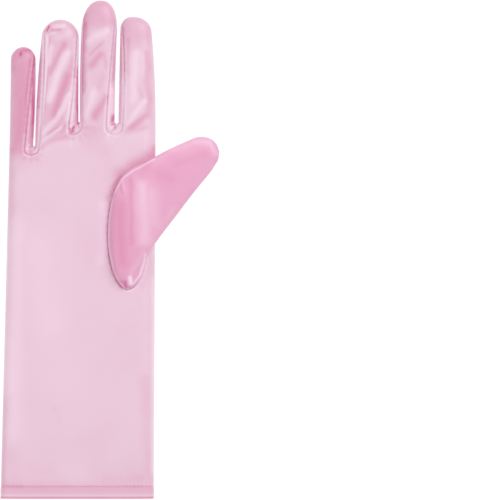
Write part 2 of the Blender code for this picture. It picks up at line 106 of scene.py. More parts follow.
# Thumb sections and the tip's place along, across and up, as shares of the thumb's length. Fullness is how
# round a section is, where 1 is an ellipse and less is fuller.
Section =namedtuple("Section", "top_along top_across low_along low_across lean rise under")
THUMB_SECTIONS = (
    Section(0.350, 0.372, -0.270, -0.325, 0.145, 0.0485, 0.164),
    Section(0.425, 0.368, -0.205, -0.288, 0.120, 0.0640, 0.164),
    Section(0.510, 0.343, -0.103, -0.257, 0.083, 0.0650, 0.160),
    Section(0.599, 0.323, 0.063, -0.216, 0.040, 0.0660, 0.146),
    Section(0.690, 0.303, 0.220, -0.182, 0.023, 0.062, 0.112),
    Section(0.785, 0.278, 0.400, -0.147, 0.010, 0.060, 0.060),
    Section(0.870, 0.252, 0.570, -0.112, 0.000, 0.057, 0.024),
    Section(0.945, 0.226, 0.710, -0.086, 0.000, 0.054, 0.006),
    Section(1.000, 0.181, 0.820, -0.068, 0.000, 0.049, 0.002),
    Section(1.030, 0.124, 0.905, -0.047, 0.000, 0.038, 0.008),
    Section(1.030, 0.070, 0.960, -0.028, 0.000, 0.022, 0.022),
)
THUMB_TIP = (1.012, 0.018, 0.044)
THUMB_FULLNESS = 0.78

# Where a fold or an area of the cloth may show. A finger's own also run on into the palm.
BODY = "body"
THUMB = "thumb"
LITTLE_RING, RING_MIDDLE, MIDDLE_INDEX = (gusset.name for gusset in GUSSETS)

# Folds, dents and their painted light, by the place where they show. Each has the X and Y of its two ends,
# its width, its height and its tone. Ends and width are picture pixels, height is in millimetres, and tone is
# painted light on the satin's colour: below zero painted shade, down to the deep pink, and above zero a
# painted highlight, up to the pale one. Where the height is zero there is only painted light.
FOLDS = {
    "little": (
        (20.5, 53.0, 20.8, 55.0, 1.3, -0.50, -0.60),
        (24.0, 50.0, 30.5, 50.5, 2.0, -0.10, -0.25),
        (17.0, 62.0, 24.0, 60.0, 2.2, 0.10, 0.06),
        (30.4, 60.0, 28.4, 78.0, 1.6, -0.10, -0.22),
        (12.5, 75.0, 12.0, 145.0, 3.0, 0.05, 0.18),
        (22.0, 100.0, 19.0, 140.0, 3.0, -0.05, -0.08),
        (28.4, 76.0, 25.0, 132.0, 1.6, -0.05, -0.24),
    ),
    "ring": (
        (47.0, 31.0, 49.5, 26.0, 0.9, -0.45, -0.90),
        (55.0, 26.8, 64.0, 25.6, 1.9, 0.25, 0.60),
        (51.5, 33.8, 56.5, 32.5, 1.0, 0.12, 0.45),
        (53.0, 29.6, 60.0, 29.2, 1.6, -0.20, -0.40),
        (57.0, 38.0, 70.0, 34.0, 3.5, 0.10, 0.15),
        (51.0, 48.0, 48.4, 64.0, 2.2, 0.10, 0.60),
        (50.5, 73.0, 64.5, 45.0, 3.0, -0.30, -0.30),
        (49.5, 99.0, 57.0, 74.0, 3.2, 0.40, 0.80),
        (57.0, 74.0, 67.0, 55.0, 3.4, 0.40, 0.70),
        (53.4, 116.0, 61.0, 95.0, 4.2, -0.45, -0.38),
        (61.0, 95.0, 68.5, 77.0, 4.6, -0.50, -0.38),
        (68.5, 77.0, 74.5, 60.0, 4.2, -0.30, -0.20),
        (42.0, 134.0, 57.0, 118.0, 2.1, 0.35, 0.60),
        (57.0, 118.0, 70.0, 95.0, 2.6, 0.35, 0.65),
        (67.2, 122.0, 69.0, 110.0, 1.7, 0.15, 0.60),
        (69.0, 110.0, 75.0, 80.0, 1.7, 0.15, 0.60),
        (47.5, 134.0, 58.0, 126.5, 1.6, -0.25, -0.30),
        (58.0, 126.5, 62.5, 118.0, 1.4, -0.15, -0.16),
        (42.0, 142.0, 61.0, 128.0, 1.8, 0.30, 0.50),
        (62.0, 131.0, 68.0, 123.0, 3.0, -0.20, -0.24),
        (41.0, 144.0, 61.0, 131.0, 1.4, -0.20, -0.24),
        (74.5, 40.0, 75.0, 66.0, 2.0, 0.05, 0.20),
        (47.0, 36.0, 46.2, 66.0, 1.4, 0.10, 0.88),
        (46.2, 66.0, 43.6, 98.0, 1.4, 0.10, 0.80),
        (43.6, 98.0, 40.4, 126.0, 1.3, 0.10, 0.80),
        (40.4, 126.0, 37.6, 150.0, 1.2, 0.10, 0.75),
        (49.2, 38.0, 48.6, 68.0, 0.7, -0.08, -0.30),
        (48.6, 68.0, 45.9, 98.0, 0.7, -0.08, -0.30),
        (45.9, 98.0, 42.6, 124.0, 0.7, -0.08, -0.30),
        (42.6, 124.0, 39.2, 148.0, 0.7, -0.08, -0.30),
    ),
    "middle": (
        (88.0, 43.0, 95.0, 37.0, 2.8, 0.30, 0.42),
        (95.0, 37.0, 107.0, 31.5, 3.2, 0.35, 0.54),
        (90.5, 55.0, 102.0, 43.0, 1.8, -0.25, -0.28),
        (91.0, 66.0, 101.0, 55.0, 3.6, -0.30, -0.38),
        (87.5, 76.0, 87.5, 92.0, 3.0, 0.10, 0.12),
        (104.5, 54.0, 106.0, 68.0, 2.4, -0.05, -0.22),
        (85.5, 117.0, 94.0, 92.0, 3.6, 0.30, 0.60),
        (95.6, 118.0, 105.4, 98.0, 3.9, -0.45, -0.40),
        (98.0, 90.0, 104.0, 76.0, 3.4, 0.10, -0.12),
        (84.0, 24.0, 83.2, 66.0, 3.3, -0.10, -0.52),
        (83.4, 66.0, 82.6, 92.0, 3.0, -0.10, -0.46),
        (86.0, 14.0, 84.0, 24.0, 2.0, -0.05, -0.22),
    ),
    "index": (
        (133.0, 100.0, 135.5, 54.0, 3.6, 0.30, 0.64),
        (141.0, 74.0, 141.0, 56.0, 2.8, 0.10, 0.18),
        (128.0, 40.0, 128.0, 74.0, 2.2, -0.10, -0.20),
        (124.8, 86.0, 125.0, 122.0, 1.8, 0.10, 0.50),
        (147.0, 54.0, 149.0, 112.0, 3.4, -0.15, -0.26),
        (133.0, 116.0, 143.0, 103.0, 2.8, 0.35, 0.66),
        (127.0, 123.0, 134.0, 116.0, 2.2, 0.25, 0.45),
        (131.0, 128.0, 148.0, 116.0, 3.8, -0.30, -0.40),
        (139.0, 90.0, 143.0, 100.0, 3.6, -0.05, -0.14),
        (122.0, 30.0, 124.4, 70.0, 2.4, -0.15, -0.36),
    ),
    BODY: (
        (38.0, 147.0, 52.0, 139.5, 2.6, -0.15, -0.22),
        (52.0, 139.5, 74.0, 136.0, 2.6, -0.15, -0.20),
        (40.0, 153.0, 76.0, 141.0, 4.0, 0.10, 0.12),
        (84.0, 144.0, 106.0, 150.0, 8.0, 0.05, -0.06),
        (112.0, 137.0, 150.0, 139.0, 7.0, 0.10, 0.14),
        (124.0, 133.5, 147.0, 128.0, 2.4, -0.12, -0.22),
        (117.0, 150.0, 126.0, 168.0, 5.0, 0.05, 0.12),
        (155.5, 149.0, 155.5, 156.0, 3.4, -0.10, -0.64),
        (11.0, 162.0, 11.0, 226.0, 5.0, 0.00, -0.16),
        (19.0, 225.0, 15.0, 430.0, 9.0, 0.00, 0.30),
        (12.0, 340.0, 12.0, 390.0, 7.0, 0.00, 0.42),
        (38.0, 248.0, 52.0, 325.0, 22.0, 0.00, 0.28),
        (8.0, 454.0, 12.0, 472.0, 11.0, 0.00, -0.12),
        (30.0, 468.0, 50.0, 470.0, 6.0, 0.00, -0.06),
        (105.0, 480.0, 142.0, 478.0, 3.5, -0.03, -0.16),
        (2.0, 485.0, 22.0, 485.5, 2.0, -0.03, -0.18),
        (152.0, 156.0, 130.0, 168.0, 6.0, -0.25, -0.42),
        (130.0, 168.0, 120.0, 175.0, 6.4, -0.20, -0.42),
        (120.0, 177.0, 109.0, 198.0, 3.6, -0.12, -0.36),
        (132.0, 169.0, 121.0, 178.0, 1.6, -0.05, -0.60),
        (120.0, 176.0, 114.4, 187.0, 2.6, -0.12, -0.56),
        (121.0, 178.0, 111.4, 194.5, 1.6, -0.05, -0.80),
        (111.4, 194.5, 107.2, 220.0, 1.3, -0.05, -0.70),
        (107.2, 220.0, 107.0, 248.0, 1.3, -0.05, -0.65),
        (107.0, 248.0, 112.2, 273.0, 1.5, -0.05, -0.70),
        (112.2, 273.0, 121.6, 288.6, 1.6, -0.05, -0.65),
        (103.5, 204.0, 102.5, 262.0, 4.4, 0.05, 0.42),
        (143.0, 285.0, 150.0, 262.0, 5.0, -0.05, -0.10),
        (10.0, 168.0, 36.0, 158.0, 7.0, -0.05, -0.12),
        (153.5, 280.0, 153.5, 470.0, 2.0, 0.00, 0.50),
        (145.0, 380.0, 148.0, 476.0, 6.0, -0.05, -0.14),
        (3.5, 400.0, 2.5, 480.0, 4.0, 0.00, -0.22),
        (5.5, 200.0, 4.0, 380.0, 1.6, 0.00, -0.08),
        (51.0, 404.0, 55.0, 411.0, 1.2, -0.06, -0.12),
        (57.0, 417.0, 62.5, 427.0, 1.4, -0.06, -0.10),
        (30.0, 300.0, 60.0, 380.0, 24.0, 0.05, 0.12),
        (96.0, 470.0, 140.0, 474.0, 9.0, -0.03, -0.06),
    ),
    LITTLE_RING: (
        (33.0, 52.0, 32.6, 66.0, 2.4, -0.15, -1.05),
        (32.6, 66.0, 32.2, 84.0, 2.2, -0.15, -0.66),
        (36.8, 112.0, 34.8, 146.0, 1.4, 0.05, 0.60),
        (32.2, 84.0, 32.8, 98.0, 2.2, -0.15, -0.42),
        (33.4, 96.0, 33.0, 124.0, 1.5, -0.10, -0.55),
        (33.0, 124.0, 32.4, 138.0, 1.1, -0.10, -0.35),
        (27.6, 100.0, 26.6, 128.0, 1.6, 0.05, 0.06),
        (30.0, 96.0, 32.0, 106.0, 1.0, -0.20, -0.35),
        (27.5, 130.0, 26.5, 144.0, 1.8, 0.10, 0.08),
        (41.5, 48.0, 38.5, 108.0, 2.2, -0.05, -0.40),
        (29.8, 150.5, 31.4, 146.5, 0.8, -0.30, -0.12),
        (27.6, 149.5, 30.6, 150.0, 1.5, 0.10, 0.50),
        (27.6, 147.5, 29.6, 144.6, 0.9, 0.25, 0.55),
        (32.2, 151.0, 33.8, 147.0, 0.8, 0.25, 0.60),
    ),
    RING_MIDDLE: (
        (77.2, 66.0, 77.4, 108.0, 1.1, -0.10, -0.58),
        (77.0, 106.0, 78.4, 124.0, 1.1, -0.30, -0.75),
        (71.6, 122.0, 74.0, 106.0, 1.5, 0.15, 0.42),
        (72.2, 131.0, 74.6, 126.6, 1.0, -0.55, -1.10),
        (70.2, 130.0, 72.4, 125.0, 0.8, 0.25, 0.55),
        (76.0, 130.5, 77.0, 127.0, 0.9, 0.25, 0.50),
        (81.4, 24.0, 81.2, 112.0, 0.9, -0.05, -0.55),
        (80.4, 60.0, 80.8, 124.0, 0.9, 0.10, 0.85),
    ),
    MIDDLE_INDEX: (
        (113.6, 26.0, 112.6, 80.0, 1.9, -0.05, -0.44),
        (109.6, 58.0, 108.0, 112.0, 0.9, -0.10, -0.45),
        (112.4, 88.0, 111.8, 112.6, 2.0, 0.10, 0.95),
        (107.2, 126.0, 110.6, 132.6, 1.2, -0.20, -0.42),
        (112.4, 121.0, 113.8, 115.5, 1.9, -0.50, -0.90),
        (108.6, 113.0, 108.4, 122.0, 1.3, 0.20, 0.55),
        (111.8, 124.6, 115.0, 124.0, 0.8, -0.35, -0.80),
        (111.6, 130.6, 112.8, 126.8, 0.8, 0.30, 0.80),
        (113.6, 130.2, 115.6, 126.6, 0.9, -0.35, -0.80),
        (117.6, 130.5, 118.6, 124.0, 1.3, 0.25, 0.45),
        (121.6, 34.0, 121.6, 76.0, 2.0, -0.05, -0.42),
        (121.0, 76.0, 121.2, 112.0, 1.2, -0.05, -0.25),
    ),
    THUMB: (
        (155.0, 159.6, 133.4, 171.0, 0.8, 0.10, 0.80),
        (133.4, 171.0, 123.2, 178.8, 0.8, 0.15, 0.85),
        (123.2, 178.8, 113.4, 195.4, 0.8, 0.15, 0.85),
        (113.4, 195.4, 109.6, 220.0, 0.8, 0.15, 0.85),
        (109.6, 220.0, 109.4, 248.0, 0.8, 0.15, 0.85),
        (109.4, 248.0, 114.2, 272.0, 0.8, 0.15, 0.85),
        (114.2, 272.0, 123.6, 286.6, 0.8, 0.15, 0.60),
        (120.0, 206.0, 122.0, 262.0, 7.0, -0.10, -0.28),
        (130.8, 180.0, 131.6, 244.0, 2.4, -0.20, -0.26),
        (141.0, 187.0, 143.0, 202.0, 6.2, 0.25, 0.50),
        (143.0, 202.0, 146.0, 240.0, 7.6, 0.22, 0.42),
        (152.0, 196.0, 156.0, 222.0, 9.0, 0.10, 0.32),
        (123.0, 180.5, 125.0, 190.5, 0.9, 0.15, 0.35),
        (120.4, 182.5, 122.2, 194.0, 1.2, -0.15, -0.25),
        (145.0, 167.0, 172.0, 178.0, 8.0, 0.00, -0.14),
        (172.0, 150.5, 194.0, 140.5, 3.4, 0.05, 0.24),
        (194.0, 140.5, 209.0, 142.0, 4.0, 0.10, 0.38),
        (209.0, 142.0, 216.0, 153.0, 3.0, 0.10, 0.34),
        (176.0, 163.0, 206.0, 154.0, 6.0, 0.00, -0.14),
        (160.0, 221.0, 163.0, 211.0, 4.0, -0.05, -0.10),
        (172.0, 210.0, 150.0, 240.0, 3.0, 0.05, 0.16),
        (212.0, 165.0, 196.0, 186.0, 3.0, 0.05, 0.10),
        (144.0, 252.0, 132.0, 272.0, 3.0, 0.10, 0.22),
        (133.0, 284.0, 140.0, 275.6, 1.1, 0.10, 0.75),
        (140.0, 275.6, 145.8, 254.0, 1.1, 0.10, 0.85),
        (121.5, 281.5, 126.0, 284.5, 1.8, -0.35, -0.50),
        (125.6, 281.5, 125.8, 286.0, 1.5, -0.30, -0.80),
        (130.6, 277.5, 131.2, 283.0, 2.0, 0.35, 1.20),
        (120.0, 270.0, 126.0, 279.0, 3.0, -0.05, -0.10),
    ),
}

# Areas of painted shade, where the same satin is drawn darker, with soft borders. Sides and border are
# picture pixels.
Area = namedtuple("Area", "place left right top bottom border tone")
PAINTED_SHADE_AREAS = (
    Area("little", -20, 38, 40, 156, 9, -0.52),
    Area("index", 115, 156, 4, 44, 9, -0.24),
    Area("index", 100, 180, 44, 140, 9, -0.05),
    Area("middle", 78, 118, -12, 27, 6, -0.22),
    Area("middle", 60, 140, -40, 128, 9, -0.09),
    Area("ring", 20, 100, -10, 140, 9, -0.17),
    Area(LITTLE_RING, 20, 35, 40, 160, 2, -0.42),
    Area(RING_MIDDLE, 60, 79.5, 70, 140, 2, -0.22),
)

# Counts
HEM_ROWS = 10
FOREARM_ROWS = 28
PALM_ROWS = 80
FINGER_ROWS = 50
CROTCH_STEPS = 8
CROSS_COUNT = 7
THUMB_SIDES = 112
THUMB_STEPS = 8
OUTLINE_STEPS = 32
SEAM_STEPS = 240
STITCH_SIDES = 6
CROWN_ROUNDS = 24
DISTANCE_BATCH = 4000

# Shares and turns that place the rows and columns
CROTCH_DEPTH = 1.3
SEAM_END = math.radians(20)
CROSS_TURN = math.radians(60)
ROW_CROWDING = 1.25
COLUMN_CROWDING = 0.45
TIP_SHARE = 0.26
FOREARM_SHARE = 0.50
LEVELLING_SHARE = 0.30
THUMB_TIP_SHARE = 0.75

# Limits: the angle of a sharp edge, how far a seam's corner may step back, and the least length to divide by
SHARP_EDGE = math.radians(55)
CORNER_LIMIT = 0.5
TINY = 1e-18

# Stitches in metres, and how thick a stitch is along its length, as shares of both sizes
STITCH_LINE = 0.0074
STITCH_PITCH = 0.0023
STITCH_LENGTH = 0.0015
STITCH_THICKNESS = 0.00042
STITCH_INSET = 0.001
STITCH_LIFT = 0.00002
STITCH_RINGS = ((-0.5, 0.45), (-0.28, 1.0), (0.28, 1.0), (0.5, 0.45))

# Soft lines beside a seam or along the hem: place and width in metres, and height in metres or tone. The
# tones
# are painted: shade in a seam's groove, highlights on a seam's rim, on the thumb's rim and on the hem, a
# shadow at the cuff's edge, and shade above the hem and in the puckers between its stitches.
Line = namedtuple("Line", "place width amount")
SEAM_GROOVE = Line(0.0, 0.00075, -0.00038)
SEAM_RIM = Line(0.0013, 0.0007, 0.00018)
SEAM_PUCKERS = Line(0.0, 0.0028, 0.00016)
SEAM_PAINTED_SHADE = Line(0.0, 0.00035, -0.40)
SEAM_PAINTED_HIGHLIGHT = Line(0.0011, 0.00060, 0.70)
THUMB_RIM = Line(0.0012, 0.0007, 0.00022)
THUMB_RIM_PAINTED_HIGHLIGHT = Line(0.0010, 0.0006, 0.65)
HEM_GROOVE = Line(STITCH_LINE, 0.0006, -0.00022)
HEM_CREASE = Line(HEM_DEPTH + 0.0016, 0.0010, -0.00010)
HEM_PAINTED_HIGHLIGHT = Line(0.0019, 0.0007, 0.26)
HEM_EDGE_PAINTED_SHADOW = Line(0.0004, 0.0005, -0.85)
HEM_SHADE = Line(HEM_DEPTH, 0.0040, -0.10)
HEM_PUCKER_PAINTED_SHADE = Line(STITCH_LINE, 0.0010, -0.045)

# How strongly the thumb's seam shows, and the share of a fourchette's seam over which it fades at its ends
THUMB_SEAM_STRENGTH = 0.8
SEAM_FADE = 0.12

# Puckers along the seams, which raise the cloth and break up the seam's painted highlight, and between the
# hem's stitches, where they are only painted shade. Lengths are in metres.
PUCKER_LENGTH = 0.0042
PUCKER_WANDER = 2.1
PUCKER_WANDER_LENGTH = 0.011
PUCKER_SHARE = 0.25
HEM_PUCKER_SLANT = 0.35
HEM_PUCKER_WANDER = 2.5
HEM_PUCKER_WANDER_LENGTH = 0.013
HEM_PUCKER_MEAN = 1.2
HEM_PUCKER_BEATS = (0.0083, 0.0031)

# The hem's band, and where band, tone and thicker wall end, in metres from the cuff
HEM_BAND_HEIGHT = 0.00012
HEM_BAND_TONE = -0.20
HEM_BAND_END = (HEM_DEPTH - 0.0006, HEM_DEPTH + 0.0008)
HEM_TONE_END = (HEM_DEPTH - 0.0012, HEM_DEPTH + 0.0014)
HEM_WALL_END = (HEM_DEPTH, HEM_DEPTH + 0.0008)

# Where folds and the softened crown set in, in metres from the outline or from the thumb's seam
CROWN_SOFTENING = (0.001, 0.004)
FOLD_START = (0.0, 0.003)
THUMB_FOLD_START = (0.0005, 0.004)

# How far the skin looks up or down: from where the thumb's cloth shows folds, and where the back rests flat
THUMB_UPPER_TURN = (-0.1, 0.2)
RESTING_TURN = -0.9

# Gathered cloth at the crotches: a ring of pleats, and a swirled knot inside it, raised in the cloth and with
# painted highlights and shade, the knot darker overall as painted shade. Lengths are in metres.
PLEAT_REACH = 0.0048
PLEAT_WIDTH = 0.0026
PLEAT_TOP = 0.004
PLEAT_COUNT = 9
PLEAT_TURN = 1.7
PLEAT_HEIGHT = 0.00020
PLEAT_PAINTED_LIGHT = 0.09
KNOT_WIDTH = 0.0026
KNOT_WAVES = (0.00075, 0.0011)
KNOT_HEIGHT = 0.00045
KNOT_PAINTED_LIGHT = 0.35
KNOT_SHADE = -0.20

# Unevenness of the cloth: its size in metres, its height in metres, tone or pixels, and its seed
Unevenness = namedtuple("Unevenness", "size amount seed")
BROAD_SWELL = Unevenness(0.030, 0.00016, 1)
SMALL_SWELL = Unevenness(0.009, 0.00007, 2)
BACK_SWELL = Unevenness(0.022, 0.00012, 3)
TONE_DRIFT = Unevenness(0.018, 0.06, 4)
THUMB_SWELL = Unevenness(0.024, 0.00015, 5)
THUMB_TONE_DRIFT = Unevenness(0.015, 0.05, 6)
FOLD_WANDER = (Unevenness(0.009, 2.0, 7), Unevenness(0.009, 2.0, 8))
STEADY_WIDTH = 3
SEED_STEP = (7.3, 3.1, 5.7)

# Finish of the satin and its thread
SATIN_ROUGHNESS = 0.34
THUMB_ROUGHNESS = 0.40
THREAD_ROUGHNESS = 0.5
THREAD_SHARE = 0.35
ROUGHNESS_SPREAD = 0.10

# The floor in metres, and the light of the sky
FLOOR_REACH = 3.0
FLOOR_DROP = 0.0004
SKY_STRENGTH = 0.62

# Colours, linear. The deep and pale satins are the painted shade and painted highlight that the tone mixes
# in.
WHITE = (1.0, 1.0, 1.0, 1.0)
SATIN = (0.815, 0.570, 0.690, 1.0)
SATIN_PAINTED_SHADE = (0.64, 0.10, 0.28, 1.0)
SATIN_PAINTED_HIGHLIGHT = (0.95, 0.70, 0.83, 1.0)
# The thumb's satin is the same cloth as the rest, its colour deepened as painted shade
THUMB_SATIN_PAINTED_SHADE = (0.800, 0.380, 0.565, 1.0)
THREAD = (0.74, 0.34, 0.52, 1.0)
FLOOR_GREY = (0.20, 0.20, 0.20, 1.0)
FLOOR_GLOW = 0.90


def drawn_curve(values, share):
    """A curve from the first value to the last, drawn halfway towards the middle one."""
    start, middle, end = values
    bend = 2 * middle - start - end
    return start + (end - start) * share + bend * share * (1 - share)


def full_turn(count):
    """So many angles, evenly round a circle."""
    return 2 * math.pi * np.arange(count) / count


def across_palm(share):
    return PALM_SHIFT + (share - 0.5) * PALM_WIDTH


def notch_height(notch):
    return GLOVE_LENGTH - MIDDLE_FINGER - max(FINGERS[notch].drop, FINGERS[notch + 1].drop)


def tip_height(finger):
    return GLOVE_LENGTH - MIDDLE_FINGER - finger.drop + finger.length


def shoulder_height(finger):
    width = (finger.right[2] - finger.left[2]) * PALM_WIDTH
    return tip_height(finger) - finger.rounding * width


def root_height(index, side):
    notch = index - 1 if side < 0 else index
    return notch_height(min(max(notch, 0), len(GUSSETS) - 1)) + FINGER_GAP / 2


def side_edge(index, side, share):
    """A point of the finger's edge, from its root at share 0 to the end of its seam at share 1."""
    finger = FINGERS[index]
    edges = finger.left if side < 0 else finger.right
    shoulder = shoulder_height(finger)
    curve = tip_height(finger) - shoulder
    root = root_height(index, side)
    height = root + (shoulder + curve * math.sin(SEAM_END) - root) * share
    if height <= shoulder:
        return across_palm(drawn_curve(edges, (height - root) / (shoulder - root))), height
    return across_palm(tip_across(finger, side, (height - shoulder) / curve)), height


def tip_across(finger, side, rise):
    """How far across the palm the round tip's edge lies, from its shoulder at rise 0 to its top at rise 1."""
    edge = finger.left[2] if side < 0 else finger.right[2]
    fullness = finger.fullness[0 if side < 0 else 1]
    return finger.tip + (edge - finger.tip) * (1 - rise ** fullness) ** (1 / fullness)


def tip_edge(index, share):
    """A point of the round tip, from the left seam's end at share 0 to the right seam's end at share 1."""
    finger = FINGERS[index]
    angle = SEAM_END + (math.pi - 2 * SEAM_END) * (1 - share)
    side = -1 if math.cos(angle) < 0 else 1
    rise = min(math.sin(angle), 1.0)
    shoulder = shoulder_height(finger)
    return across_palm(tip_across(finger, side, rise)), shoulder + (tip_height(finger) - shoulder) * rise


def crotch_edge(notch, share):
    """A point of the narrow crotch from the left finger's root to the right finger's root."""
    left = side_edge(notch, 1, 0)
    right = side_edge(notch + 1, -1, 0)
    angle = math.pi * (1 + share)
    reach = (right[0] - left[0]) / 2
    x = (left[0] + right[0]) / 2 + reach * math.cos(angle)
    return x, left[1] + CROTCH_DEPTH * reach * math.sin(angle)


def side_seam(index, side, share):
    """A point of the fourchette's seam beside the finger's edge."""
    gusset = GUSSETS[index - 1 if side < 0 else index]
    insets = gusset.second_inset if side < 0 else gusset.first_inset
    x, y = side_edge(index, side, share)
    foot = y - (GUSSET_REACH - GUSSET_CURVE) * gusset.depth * (1 - share) ** 3
    return x - side * drawn_curve(insets, share) * EDGE_ROLL, foot


def crotch_seam(notch, share):
    """A point of the U below the crotch, whose lowest place lies aside from its middle by the shift."""
    left = side_seam(notch, 1, 0)
    right = side_seam(notch + 1, -1, 0)
    reach = (right[0] - left[0]) / 2
    lowest = math.acos(-GUSSETS[notch].shift * PALM_WIDTH / 2 / reach) / math.pi
    x = (left[0] + right[0]) / 2 - reach * math.cos(math.pi * share)
    depth = math.sin(math.pi * share ** (math.log(0.5) / math.log(lowest)))
    return x, left[1] - GUSSET_CURVE * GUSSETS[notch].depth * depth


def outline_points():
    """The plan outline from the cuff's left corner over the fingertips to its right corner."""
    steps = [step / OUTLINE_STEPS for step in range(OUTLINE_STEPS + 1)]
    points = [(-CUFF_WIDTH / 2, 0.0)]
    for index in range(len(FINGERS)):
        points += [side_edge(index, -1, share) for share in steps]
        points += [tip_edge(index, share) for share in steps]
        points += [side_edge(index, 1, 1 - share) for share in steps]
        if index < len(GUSSETS):
            points += [crotch_edge(index, share) for share in steps]
    return np.array(points + [(CUFF_WIDTH / 2, 0.0)])


def edge_distance(plan, outline):
    """The distance of each plan point from the outline, worked out a batch at a time."""
    starts = outline[:-1]
    runs = outline[1:] - starts
    lengths = np.maximum((runs ** 2).sum(axis=1), TINY)
    away = np.empty(len(plan))
    for first in range(0, len(plan), DISTANCE_BATCH):
        batch = slice(first, first + DISTANCE_BATCH)
        offsets = plan[batch, None, :] - starts[None]
        shares = np.clip((offsets * runs[None]).sum(axis=2) / lengths, 0, 1)
        gaps = offsets - shares[..., None] * runs[None]
        away[batch] = np.sqrt((gaps ** 2).sum(axis=2).min(axis=1))
    return away


def roll_over(share):
    """The height of a quarter circle, from 0 at the edge to 1 where it ends."""
    return np.sqrt(1 - (1 - np.clip(share, 0, 1)) ** 2)


def smooth_step(values, low, high):
    """A soft step from 0 at the low value to 1 at the high one."""
    share = np.clip((values - low) / (high - low), 0, 1)
    return share * share * (3 - 2 * share)


def fading(values, width, place=0.0):
    """How strongly a soft line shows: 1 at its own place, and less and less to both sides."""
    return np.exp(-((values - place) / width) ** 2)


def soft_line(values, line):
    """A line's height or tone."""
    return line.amount * fading(values, line.width, line.place)


def palm_level(plan, outline):
    """Height of the palm side before its folds."""
    away = edge_distance(plan, outline)
    rise = PALM_HEIGHT * np.interp(plan[:, 1] / GLOVE_LENGTH, RISE_ALONG, RISE_SHARES)
    edge = roll_over(away / EDGE_ROLL)
    crown = roll_over(away / CROWN_ROLL)
    return BACK_HEIGHT + rise * ((1 - CROWN_SHARE) * edge + CROWN_SHARE * crown)


def back_level(plan, outline):
    return BACK_HEIGHT * (1 - roll_over(edge_distance(plan, outline) / EDGE_ROLL))


def between(first, second, share):
    return tuple(a + (b - a) * share for a, b in zip(first, second))


def seam_rows():
    return [1 - (1 - row / FINGER_ROWS) ** ROW_CROWDING for row in range(FINGER_ROWS + 1)]


def cross_shares():
    """Places across half a fourchette, from its seam at 1 to the finger's edge at 0."""
    turns = [CROSS_TURN * (1 - step / CROSS_COUNT) for step in range(CROSS_COUNT + 1)]
    return [(1 - math.cos(turn)) / (1 - math.cos(CROSS_TURN)) for turn in turns]


def column_splits(count):
    """Places across a finger, a little closer together at its edges."""
    places = []
    for step in range(count + 1):
        share = step / count
        crowded = 0.5 - 0.5 * math.cos(math.pi * share)
        places.append((1 - COLUMN_CROWDING) * share + COLUMN_CROWDING * crowded)
    return places


def finger_side_column(index, side):
    if (index == 0 and side < 0) or (index == len(FINGERS) - 1 and side > 0):
        count = FINGER_ROWS + CROSS_COUNT
        return [side_edge(index, side, row / count) for row in range(count + 1)]
    column = [side_seam(index, side, share) for share in seam_rows()]
    end = side_edge(index, side, 1)
    return column + [between(end, column[-1], share) for share in cross_shares()[1:]]


def finger_grid(index):
    """Plan points of a finger's rows and columns, filled in between its sides, root and tip."""
    left = finger_side_column(index, -1)
    right = finger_side_column(index, 1)
    weights = [(1 - TIP_SHARE) * row / FINGER_ROWS for row in range(FINGER_ROWS)]
    weights += [1 - TIP_SHARE * share for share in cross_shares()]
    grid = []
    for row, weight in enumerate(weights):
        points = []
        for split in column_splits(FINGERS[index].columns):
            tip_point = tip_edge(index, split)
            chord = between(left[-1], right[-1], split)
            base = between(left[row], right[row], split)
            points.append((base[0] + weight * (tip_point[0] - chord[0]),
                           base[1] + weight * (tip_point[1] - chord[1])))
        grid.append(points)
    return grid


def body_heights(root_mean):
    wrist = HEM_DEPTH + (root_mean - HEM_DEPTH) * FOREARM_SHARE
    hem_end = HEM_DEPTH + CLOTH
    hem = [hem_end * row / HEM_ROWS for row in range(HEM_ROWS)]
    forearm = [hem_end + (wrist - hem_end) * row / FOREARM_ROWS for row in range(FOREARM_ROWS)]
    palm = [wrist + (root_mean - wrist) * row / PALM_ROWS for row in range(PALM_ROWS)]
    return hem + forearm + palm


def body_grid(base_row):
    """Plan points below the fingers. Rows are level at the cuff and follow the roots' line at the top."""
    base = np.array(base_row)
    root_mean = base[:, 1].mean()
    shares = (base[:, 0] - base[0, 0]) / (base[-1, 0] - base[0, 0])
    even = np.arange(len(base)) / (len(base) - 1)
    rows = []
    for height in body_heights(root_mean):
        level = (height / root_mean - 1 + LEVELLING_SHARE) / LEVELLING_SHARE
        level = min(max(level, 0), 1) ** 2
        heights = height + (base[:, 1] - root_mean) * level
        left = -CUFF_WIDTH / 2 + (base[0, 0] + CUFF_WIDTH / 2) * heights / base[0, 1]
        right = CUFF_WIDTH / 2 + (base[-1, 0] - CUFF_WIDTH / 2) * heights / base[-1, 1]
        across = even + (shares - even) * level
        rows.append(list(zip(left + (right - left) * across, heights)))
    return rows


class Skin:
    """The outer skin's points: plan place, side (1 palm, -1 back, 0 outline) and the place of their folds."""

    def __init__(self):
        self.numbers = {}
        self.plan = []
        self.sides = []
        self.places = []

    def add(self, key, plan, side, place):
        if key not in self.numbers:
            self.numbers[key] = len(self.plan)
            self.plan.append(plan)
            self.sides.append(side)
            self.places.append(place)
        return self.numbers[key]


def grid_corners(rows, columns):
    """The corners of each face of a grid, as row and column."""
    for row in range(rows):
        for column in range(columns):
            yield (row, column), (row, column + 1), (row + 1, column + 1), (row + 1, column)


